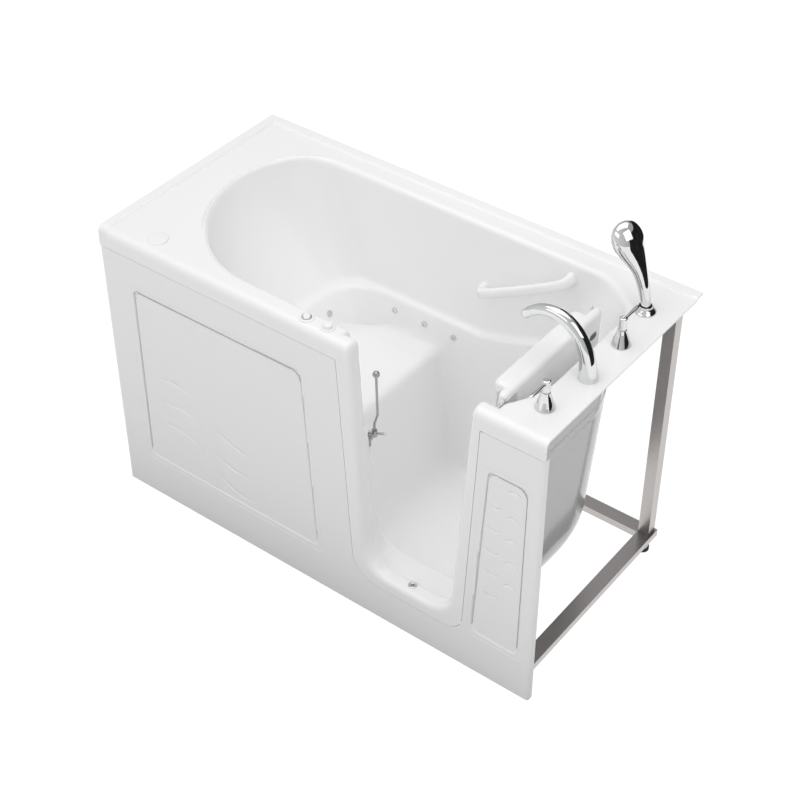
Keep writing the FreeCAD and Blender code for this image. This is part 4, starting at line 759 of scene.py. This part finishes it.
# ---------------------------------------------------------------- turned and lofted pieces
def lathe(profile, cx, cy, cz, segs=72, axis=None):
    """A spun profile of (radius, height); closed at both ends where the radius is 0."""
    p = np.array(profile, dtype=float)
    a = np.linspace(0, 2 * np.pi, segs, endpoint=False)
    v = np.stack([np.outer(p[:, 0], np.cos(a)), np.outer(p[:, 0], np.sin(a)), np.repeat(p[:, 1][:, None], segs, axis=1)], axis=2).reshape(-1, 3)
    f = []
    for i in range(len(p) - 1):
        for k in range(segs):
            m = (k + 1) % segs
            f.append((i * segs + k, i * segs + m, (i + 1) * segs + m, (i + 1) * segs + k))
    if axis is not None:
        z = np.array(axis, dtype=float)
        z /= np.linalg.norm(z)
        x = np.cross((0.0, 1.0, 0.0) if abs(z[1]) < 0.9 else (1.0, 0.0, 0.0), z)
        x /= np.linalg.norm(x)
        y = np.cross(z, x)
        v = v[:, :1] * x + v[:, 1:2] * y + v[:, 2:] * z
    return v + np.array([cx, cy, cz]), f


def eased(profile, radius=1.0, steps=4):
    """Round the corners of a profile."""
    out = [profile[0]]
    for i in range(1, len(profile) - 1):
        a, b, c = (np.array(profile[k], dtype=float) for k in (i - 1, i, i + 1))
        la, lc = np.linalg.norm(a - b), np.linalg.norm(c - b)
        r = min(radius, 0.45 * la, 0.45 * lc)
        p, q = b + (a - b) * r / max(la, 1e-9), b + (c - b) * r / max(lc, 1e-9)
        for k in range(steps + 1):
            t = k / steps
            out.append(tuple((1 - t) ** 2 * p + 2 * t * (1 - t) * b + t * t * q))
    out.append(profile[-1])
    return out


def join(parts):
    vs, fs, n = [], [], 0
    for v, f in parts:
        vs.append(np.asarray(v))
        fs += [tuple(i + n for i in q) for q in f]
        n += len(v)
    return np.concatenate(vs), fs


def loft(rings, cap0=True, cap1=True):
    """Skin over rings that have the same number of points."""
    n = len(rings[0])
    v = np.concatenate([np.asarray(r) for r in rings])
    f = []
    for i in range(len(rings) - 1):
        for k in range(n):
            m = (k + 1) % n
            f.append((i * n + k, i * n + m, (i + 1) * n + m, (i + 1) * n + k))
    parts = [(v, f)]
    for want, r, flip in ((cap0, rings[0], True), (cap1, rings[-1], False)):
        if want:
            c = np.asarray(r).mean(axis=0)
            cv = np.concatenate([np.asarray(r), [c]])
            cf = [((k + 1) % n, k, n) if flip else (k, (k + 1) % n, n) for k in range(n)]
            parts.append((cv, cf))
    return join(parts)


def mesh(name, vf, slot, body, nodes=(), sharp=40.0):
    """A mesh of mixed faces with smooth shading and crisp edges kept."""
    v, f = vf
    me = bpy.data.meshes.new(name)
    me.from_pydata([tuple(p) for p in put(v)], [], [tuple(q) for q in f])
    bm = bmesh.new()
    bm.from_mesh(me)
    bmesh.ops.remove_doubles(bm, verts=bm.verts, dist=1e-6)
    bmesh.ops.recalc_face_normals(bm, faces=bm.faces)
    lim = math.radians(sharp)
    for face in bm.faces:
        face.smooth = True
    for e in bm.edges:
        if len(e.link_faces) == 2 and e.calc_face_angle(0.0) > lim:
            e.smooth = False
    bm.to_mesh(me)
    bm.free()
    o = bpy.data.objects.new(name, me)
    bpy.context.scene.collection.objects.link(o)
    me.materials.append(M[slot])
    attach(o, body)
    if nodes:
        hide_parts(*nodes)
    return o


def spline(keys, n):
    """Smooth curve through rows of numbers, spaced by the first three."""
    k = np.array(keys, dtype=float)
    s = np.concatenate([[0], np.cumsum(np.linalg.norm(np.diff(k[:, :2], axis=0), axis=1))])
    q = np.linspace(0, s[-1], n)
    out = np.empty((n, k.shape[1]))
    m = np.empty_like(k)
    m[1:-1] = (k[2:] - k[:-2]) / (s[2:] - s[:-2])[:, None]
    m[0] = (k[1] - k[0]) / (s[1] - s[0])
    m[-1] = (k[-1] - k[-2]) / (s[-1] - s[-2])
    i = np.clip(np.searchsorted(s, q, side="right") - 1, 0, len(s) - 2)
    h = (s[i + 1] - s[i])[:, None]
    t = ((q - s[i]) / (s[i + 1] - s[i]))[:, None]
    out = (2 * t ** 3 - 3 * t ** 2 + 1) * k[i] + (t ** 3 - 2 * t ** 2 + t) * h * m[i] + (-2 * t ** 3 + 3 * t ** 2) * k[i + 1] + (t ** 3 - t ** 2) * h * m[i + 1]
    return out


# ---------------------------------------------------------------- spout
SPOUT = [(1467.5, 963, 27), (1467.5, 968, 26.6), (1466.8, 978, 25.6), (1465.5, 992, 24.2), (1461, 1020, 22),
         (1448, 1056, 20), (1424, 1090, 18.6), (1392, 1113, 17.8), (1354, 1121, 17), (1316, 1113, 16), (1287, 1095, 15), (1270, 1079, 14.5)]
path = spline(SPOUT, 90)
rings = []
tang = np.gradient(path[:, :2], axis=0)
tang /= np.linalg.norm(tang, axis=1)[:, None]
tang[0] = (0.0, 1.0)
ang = np.linspace(0, 2 * np.pi, 48, endpoint=False)
for (px, pz, pr), (tx, tz) in zip(path, tang):
    side = np.array([tz, 0.0, -tx])
    rings.append(np.array([px, 275.0, pz]) + pr * (np.outer(np.cos(ang), side) + np.outer(np.sin(ang), (0.0, 1.0, 0.0))))
end, (ex_, ez_) = path[-1], tang[-1]
side = np.array([ez_, 0.0, -ex_])
for r, back in ((14.2, -0.5), (12.6, -0.9), (11.6, 0.6), (11.2, 7.0), (10.6, 9.0)):
    c = np.array([end[0] - ex_ * back, 275.0, end[1] - ez_ * back])
    rings.append(c + r * (np.outer(np.cos(ang), side) + np.outer(np.sin(ang), (0.0, 1.0, 0.0))))
shank = lathe([(0, 903), (13.5, 903), (14.5, 904.5), (14.5, 962.9)], 1467.5, 275.0, 0.0, 40)
mesh("filler_spout", join([loft(rings), shank]), "chrome", "tub", ("spout",), 50.0)

# ---------------------------------------------------------------- lever valves
BASE = [(8.2, 0), (27.2, 0), (27.5, 0.8), (27.2, 1.9), (24.0, 11), (18.9, 26), (14.5, 39.5), (12.4, 47), (11.9, 49.2), (11.2, 50), (8.2, 50)]
parts = []
for hx, hy in ((1443.5, 115.0), (1461.0, 444.0)):
    parts.append(lathe(eased(BASE, 1.2, 3), hx, hy, TOP))
mesh("valve_cones", join(parts), "chrome", "tub", ("valve_bases",), 55.0)


def lever(name, hx, hy, sign, body, node):
    hub = lathe(eased([(6.2, 50.8), (10.4, 50.8), (11.3, 52.2), (11.8, 56), (11.2, 61), (10.6, 68), (10.8, 76), (11.4, 83.4), (10.6, 86.2), (7.0, 87.0), (0.01, 87.3)], 0.9, 3), hx, hy, TOP)
    rings = []
    for d, wide, tall, z in ((6, 4.6, 3.6, 78.5), (12, 4.6, 3.6, 79.0), (22, 4.6, 3.4, 79.6), (36, 5.2, 3.2, 80.2), (50, 6.0, 3.0, 80.8), (62, 6.4, 2.9, 81.2), (69, 6.0, 2.7, 81.5), (73, 4.4, 2.2, 81.6), (74.6, 2.0, 1.2, 81.6)):
        rings.append(np.stack([hx + wide * np.cos(ang), np.full_like(ang, hy + sign * d), TOP + z + tall * np.sin(ang)], axis=1))
    mesh(name, join([hub, loft(rings)]), "chrome", body, (node,), 55.0)


lever("hot_handle_lever", 1443.5, 115.0, -1.0, "hot_handle", "hot_lever")
lever("cold_handle_lever", 1461.0, 444.0, 1.0, "cold_handle", "cold_lever")

# ---------------------------------------------------------------- hand shower
HX, HY = 1437.5, 604.0
HAND = [(0, -30, 12.6, 12.6), (0, 0, 12.6, 12.6), (0, 12, 13.1, 13.1), (-1, 26, 13.6, 13.6), (-5, 46, 14.6, 14.6), (-13, 78, 16.2, 16.8), (-25, 112, 18, 20),
        (-41, 144, 21.5, 28), (-59, 172, 27, 39), (-72, 196, 31, 46), (-84, 219, 27, 42), (-93, 237, 17, 29), (-97, 245, 6, 10)]
hp = spline([(a, b, c, e) for a, b, c, e in HAND], 110)
ht = np.gradient(hp[:, :2], axis=0)
ht /= np.linalg.norm(ht, axis=1)[:, None]
TWIST = math.radians(25.0)
CT, ST = math.cos(TWIST), math.sin(TWIST)
YY = np.array([0.0, 1.0, 0.0])
u_ax = np.array([-0.47, 0.0, 0.883])
u_ax /= np.linalg.norm(u_ax)
rear_ = np.cross(YY, u_ax)
v_ax = YY * CT + rear_ * ST
FN = YY * ST - rear_ * CT
FO = np.array([HX - 68.0, HY, TOP + 190.0]) + FN * 22.0
rings = []
for (dx, dz, th, wd), (tx, tz) in zip(hp, ht):
    c = np.array([HX + dx, HY, TOP + dz])
    rear_ = np.array([tz, 0.0, -tx])
    ring = c + th * np.outer(np.cos(ang), rear_ * CT - YY * ST) + wd * np.outer(np.sin(ang), YY * CT + rear_ * ST)
    if dz > 120.0:
        over = (ring - FO) @ FN
        ring = ring - np.maximum(over, 0.0)[:, None] * FN
    rings.append(ring)
mesh("shower_body", loft(rings), "chrome", "hand_shower", ("hand_shower",), 50.0)

# spray face: a shallow dome of soft nozzles set in the head
rings = []
fine = np.linspace(0, 2 * np.pi, 64, endpoint=False)
for s, h in ((1.0, -0.2), (0.995, 1.2), (0.97, 2.4), (0.92, 3.2), (0.8, 4.0), (0.6, 4.8), (0.35, 5.3), (0.12, 5.5)):
    rings.append(FO + FN * h + np.outer(34.6 * s * np.cos(fine), u_ax) + np.outer(26.6 * s * np.sin(fine), v_ax))
parts = [loft(rings)]
for rad, num in ((0.28, 8), (0.52, 14), (0.75, 20)):
    for k in range(num):
        a = 2 * np.pi * (k + 0.5 * (num % 4 == 0)) / num
        h = 5.5 - 2.7 * rad * rad
        c = FO + u_ax * (34.0 * rad * math.cos(a)) + v_ax * (26.0 * rad * math.sin(a)) + FN * h
        parts.append(lathe([(1.5, -0.6), (1.4, 0.5), (1.0, 0.9), (0.01, 1.0)], c[0], c[1], c[2], 10, FN))
mesh("shower_nozzles", join(parts), "grey_plastic", "hand_shower", ("shower_spray_face",), 40.0)
HOLDER = [(13.7, -60), (15.9, -60), (15.9, 0), (29.6, 0), (30, 1), (29.8, 2.6), (28, 5), (24.6, 8.6), (21, 11.6), (19.4, 14), (19, 17), (18.9, 19.2), (18.3, 20), (16.6, 20), (16.0, 17), (13.9, 4), (13.7, -60)]
mesh("shower_cradle", lathe(eased(HOLDER, 0.8, 3), HX, HY, TOP), "chrome", "tub", ("shower_holder",), 50.0)

# ---------------------------------------------------------------- deck controls
CAP = [(0.01, -18), (22.6, -18), (22.6, 0.05), (30.4, 0.05), (31, 0.9), (30.8, 2.0), (29.2, 3.6), (26.6, 4.4), (25.4, 4.1), (24.4, 4.4), (14, 4.8), (0.01, 5.0)]
mesh("deck_cap_disc", lathe(eased(CAP, 0.7, 3), 176.0, 62.0, TOP), "fitting_white", "tub", ("deck_cap",), 50.0)
RING = [(13.35, -28), (15.5, -28), (15.5, 0.05), (21.4, 0.05), (22, 0.8), (21.8, 1.8), (20.2, 2.9), (18.0, 3.2), (15.4, 3.1), (14.2, 2.7), (13.4, 1.6), (13.35, -28)]
mesh("button_collar", lathe(eased(RING, 0.6, 3), 739.0, 37.0, TOP), "fitting_white", "tub", ("air_button_ring",), 50.0)
mesh("button_sleeve", join([lathe(eased([(0.01, -21), (12.9, -21), (12.9, 4.6), (12.5, 6.2), (11.2, 6.9), (10.4, 6.7), (0.01, 6.5)], 0.5, 3), 739.0, 37.0, TOP)]),
     "chrome", "air_button", ("air_button",), 50.0)
mesh("button_top", lathe(eased([(10.3, 6.2), (10.2, 7.2), (8.6, 7.8), (0.01, 8.0)], 0.6, 3), 739.0, 37.0, TOP), "fitting_white", "air_button", (), 50.0)
RING2 = [(6.1, -24), (10.9, -24), (10.9, 0.05), (20.4, 0.05), (21, 0.8), (20.8, 1.7), (19.2, 2.8), (17.0, 3.2), (6.1, 3.2), (6.1, -24)]
mesh("knob_collar", lathe(eased(RING2, 0.6, 3), 811.0, 37.0, TOP), "fitting_white", "tub", ("drain_knob_ring",), 50.0)
KNOB = [(0.01, -31), (9, -31), (9, -24.4), (5.9, -24.4), (5.9, 3.7), (13.4, 3.7), (13.9, 4.4), (13.8, 8), (13.2, 11.6), (11.8, 13.6), (9.6, 14.3), (0.01, 14.6)]
nub = lathe(eased([(0.01, 0), (3.0, 0), (2.9, 2.8), (2.2, 3.7), (0.01, 4.0)], 0.4, 3), 811.0 - 4.5, 37.0 + 6.0, TOP + 13.0, 24)
flutes = lathe(eased(KNOB, 0.8, 3), 811.0, 37.0, TOP)
mesh("knob_turn", join([flutes, nub]), "fitting_white", "drain_knob", ("drain_knob",), 50.0)

# ---------------------------------------------------------------- wastes
WX, WY, FZ = 1080.0, 370.0, 80.0
SEAT = [(20.2, -34), (25, -34), (25, 0.05), (36.6, 0.05), (38, 0.7), (37.4, 1.7), (34, 2.6), (28, 2.9), (24.4, 2.2), (21.4, 0.6), (20.2, -1.6), (20.2, -34)]
parts = [lathe(eased(SEAT, 0.7, 3), WX, WY, FZ)]
for ax_, ay_ in ((1, 0), (0, 1)):
    w, l = 2.0, 20.6
    for s in (-1, 1):
        x0, x1 = (s * 6.6, s * l)
        pts = []
        for z in (-24.0, -19.0):
            for q in (x0, x1):
                for r in (-w, w):
                    pts.append((WX + q * ax_ + r * ay_, WY + q * ay_ + r * ax_, FZ + z))
        parts.append((np.array(pts), [(0, 1, 3, 2), (4, 6, 7, 5), (0, 4, 5, 1), (2, 3, 7, 6), (0, 2, 6, 4), (1, 5, 7, 3)]))
parts.append(lathe([(4.1, -28), (6.8, -28), (7, -27.8), (7, -18.2), (6.8, -18), (4.1, -18), (4.1, -28)], WX, WY, FZ, 32))
mesh("drain_seat", join(parts), "chrome", "tub", ("drain_flange",), 40.0)
STOP = [(0.01, -36), (3.9, -36), (3.9, -2), (15.6, -2), (18.4, 0.2), (19, 1.0), (18.6, 2.0), (15.6, 3.4), (11, 4.4), (0.01, 5.0)]
mesh("drain_cap", lathe(eased(STOP, 0.8, 3), WX, WY, FZ - 3.0), "chrome", "drain_stopper", ("drain_stopper",), 50.0)
WEEP = [(4.6, -18), (9.5, -18), (9.5, 0.05), (13.4, 0.05), (14, 0.6), (13.6, 1.5), (12, 2.2), (7.4, 2.4), (5.6, 1.6), (4.6, -0.5), (4.6, -18)]
mesh("sill_drain_ring", lathe(eased(WEEP, 0.5, 3), 1097.0, 34.0, 170.0), "chrome", "tub", ("sill_drain",), 50.0)

# ---------------------------------------------------------------- grab bar
def wall_at(x, z):
    return 672.0 - 22.0 * (TOP - z) / 363.0


GA, GB = (888.0, 762.0), (1169.0, 914.0)
A = np.array([GA[0], wall_at(*GA) - 0.2, GA[1]])
B = np.array([GB[0], wall_at(*GB) - 0.2, GB[1]])
run = (B - A) / np.linalg.norm(B - A)
out_ = np.array([0.0, -1.0, 0.0])
out_ = out_ - run * (out_ @ run)
out_ /= np.linalg.norm(out_)
cross = np.cross(run, out_)
length = np.linalg.norm(B - A)
keys = [(0.0, -2.0, 18.0, 14.0), (0.0, 12.0, 17.0, 13.0), (1.5, 26.0, 16.2, 11.6), (9.0, 37.0, 15.8, 10.6), (24.0, 42.5, 15.4, 10.0), (70.0, 48.0, 15.0, 9.4), (length / 2, 51.0, 15.0, 9.2),
        (length - 70.0, 48.0, 15.0, 9.4), (length - 24.0, 42.5, 15.4, 10.0), (length - 9.0, 37.0, 15.8, 10.6), (length - 1.5, 26.0, 16.2, 11.6), (length, 12.0, 17.0, 13.0), (length, -2.0, 18.0, 14.0)]
gp = spline(keys, 120)
gt = np.gradient(gp[:, :2], axis=0)
gt /= np.linalg.norm(gt, axis=1)[:, None]
gt[0], gt[-1] = (0.0, 1.0), (0.0, -1.0)
rings = []
for (s, o, wide, thick), (ts, to) in zip(gp, gt):
    c = A + run * s + out_ * o
    n = out_ * ts - run * to
    sq = np.sign(np.cos(ang)) * np.abs(np.cos(ang)) ** 0.8
    sr = np.sign(np.sin(ang)) * np.abs(np.sin(ang)) ** 0.8
    rings.append(c + thick * np.outer(sq, n) + wide * np.outer(sr, cross))
mesh("grab_rail", loft(rings), "fitting_white", "tub", ("grab_bar",), 60.0)

# ---------------------------------------------------------------- finish on the CAD pieces that stay
DONE = {"tub_shell_deck", "tub_shell_door_surround", "tub_shell_walls", "tub_shell_seat", "tub_shell_foot_well", "front_panel", "door_panel", "spout", "valve_bases",
        "hot_lever", "cold_lever", "hand_shower", "shower_spray_face", "shower_holder", "deck_cap", "air_button_ring", "air_button", "drain_knob_ring", "drain_knob",
        "drain_flange", "drain_stopper", "sill_drain", "grab_bar"}
for node, obj in frame["nodes"].items():
    if node in DONE:
        continue
    mat = LATCH if node.startswith("latch_") and SLOT_OF[node] == "chrome" else M[SLOT_OF[node]]
    if obj.material_slots:
        for sl in obj.material_slots:
            sl.material = mat
    else:
        obj.data.materials.append(mat)

# ---------------------------------------------------------------- floor and light
def staged(name, pts, faces, mat):
    me = bpy.data.meshes.new(name)
    me.from_pydata(pts, [], faces)
    o = bpy.data.objects.new(name, me)
    bpy.context.scene.collection.objects.link(o)
    me.materials.append(mat)
    return o


fm, ft, fs = material("pale_floor")
tone = noise(ft, 0.8, 2.0)
fc = ramp(ft, tone.outputs["Fac"], [(0.3, (0.99, 0.99, 0.99)), (0.7, (1.0, 1.0, 1.0))])
fs.inputs["Base Color"].default_value = (0.02, 0.02, 0.02, 1.0)
ft.links.new(fc.outputs["Color"], fs.inputs["Emission Color"])
fs.inputs["Emission Strength"].default_value = 1.05
fs.inputs["Roughness"].default_value = 0.9
floor = staged("floor", [(-14, -14, -0.0005), (14, -14, -0.0005), (14, 14, -0.0005), (-14, 14, -0.0005)], [(0, 1, 2, 3)], fm)
floor.visible_diffuse = False
# the light that the floor throws back up comes from a sheet just under it, painted dark near the tub and pale further
# out as a painted contact shadow
bm_, bt_, bs_ = material("floor_bounce_painted_shadow")
co_ = bt_.nodes.new("ShaderNodeTexCoord")
mp_ = bt_.nodes.new("ShaderNodeMapping")
mp_.inputs["Scale"].default_value = (1.0 / 2.2, 1.0 / 1.35, 1.0)
ln_ = bt_.nodes.new("ShaderNodeVectorMath")
ln_.operation = "LENGTH"
bt_.links.new(co_.outputs["Object"], mp_.inputs["Vector"])
bt_.links.new(mp_.outputs["Vector"], ln_.inputs[0])
# Painted shadow: the sheet is dark close to the tub and pale far from it.
bounce_shadow_ramp = ramp(bt_, ln_.outputs["Value"], [(0.34, (0.22, 0.22, 0.22)), (0.98, (0.86, 0.86, 0.86))])
bt_.links.new(bounce_shadow_ramp.outputs["Color"], bs_.inputs["Base Color"])
bs_.inputs["Roughness"].default_value = 1.0
bs_.inputs["Specular IOR Level"].default_value = 0.0
bounce = staged("floor_under", [(-14, -14, -0.002), (14, -14, -0.002), (14, 14, -0.002), (-14, 14, -0.002)], [(0, 1, 2, 3)], bm_)
bounce.visible_camera = False
bounce.visible_glossy = False
floor.visible_shadow = False

world = bpy.data.worlds.new("studio")
world.use_nodes = True
wt = world.node_tree
wt.nodes.clear()
wo = wt.nodes.new("ShaderNodeOutputWorld")
bg = wt.nodes.new("ShaderNodeBackground")
bg.inputs["Color"].default_value = (1.0, 1.0, 1.0, 1.0)
wc = wt.nodes.new("ShaderNodeTexCoord")
wd = wt.nodes.new("ShaderNodeVectorMath")
wd.operation = "DOT_PRODUCT"
wd.inputs[1].default_value = Vector((-0.45, -0.75, 0.2)).normalized()
wm = wt.nodes.new("ShaderNodeMapRange")
wm.inputs["From Min"].default_value = -0.3
wm.inputs["From Max"].default_value = 1.0
wm.inputs["To Min"].default_value = 0.463
wm.inputs["To Max"].default_value = 0.768
wt.links.new(wc.outputs["Generated"], wd.inputs[0])
wt.links.new(wd.outputs["Value"], wm.inputs["Value"])
wt.links.new(wm.outputs["Result"], bg.inputs["Strength"])
wt.links.new(bg.outputs["Background"], wo.inputs["Surface"])
bpy.context.scene.world = world
bpy.context.scene.cycles.max_bounces = 16
bpy.context.scene.cycles.diffuse_bounces = 12


def area(name, loc, target, size, power, size_y=None):
    l = bpy.data.lights.new(name, "AREA")
    l.energy = power
    l.shape = "RECTANGLE"
    l.size = size
    l.size_y = size_y or size
    o = bpy.data.objects.new(name, l)
    bpy.context.scene.collection.objects.link(o)
    o.location = loc
    o.rotation_mode = "QUATERNION"
    o.rotation_quaternion = (Vector(target) - Vector(loc)).to_track_quat("-Z", "Y")
    return o


area("top", (-0.2, 0.2, 4.2), (0.0, 0.0, 0.6), 4.0, 45.0, 3.0)
area("front_high", (-0.3, -2.6, 3.0), (0.0, -0.3, 0.6), 3.0, 9.0, 1.2)
area("right", (3.0, -0.6, 3.2), (0.2, 0.0, 0.4), 2.0, 16.7, 2.0)

# a dark card for the bright metal to mirror, seen by nothing else
dm_, dt_, ds_ = material("dark_card")
tone = noise(dt_, 1.5, 2.0)
dc_ = ramp(dt_, tone.outputs["Fac"], [(0.3, (0.015, 0.015, 0.016)), (0.7, (0.03, 0.03, 0.031))])
dt_.links.new(dc_.outputs["Color"], ds_.inputs["Base Color"])
ds_.inputs["Roughness"].default_value = 1.0
ds_.inputs["Specular IOR Level"].default_value = 0.0
pts, faces = [], []
for k, az in enumerate(range(-18, 109, 9)):
    for z in (0.0, 4.2):
        pts.append((0.6 + 3.6 * math.cos(math.radians(az)), 3.6 * math.sin(math.radians(az)), z))
    if k:
        faces.append((2 * k - 2, 2 * k, 2 * k + 1, 2 * k - 1))
card = staged("dark_card", pts, faces, dm_)
card.visible_camera = False
card.visible_diffuse = False
card.visible_shadow = False
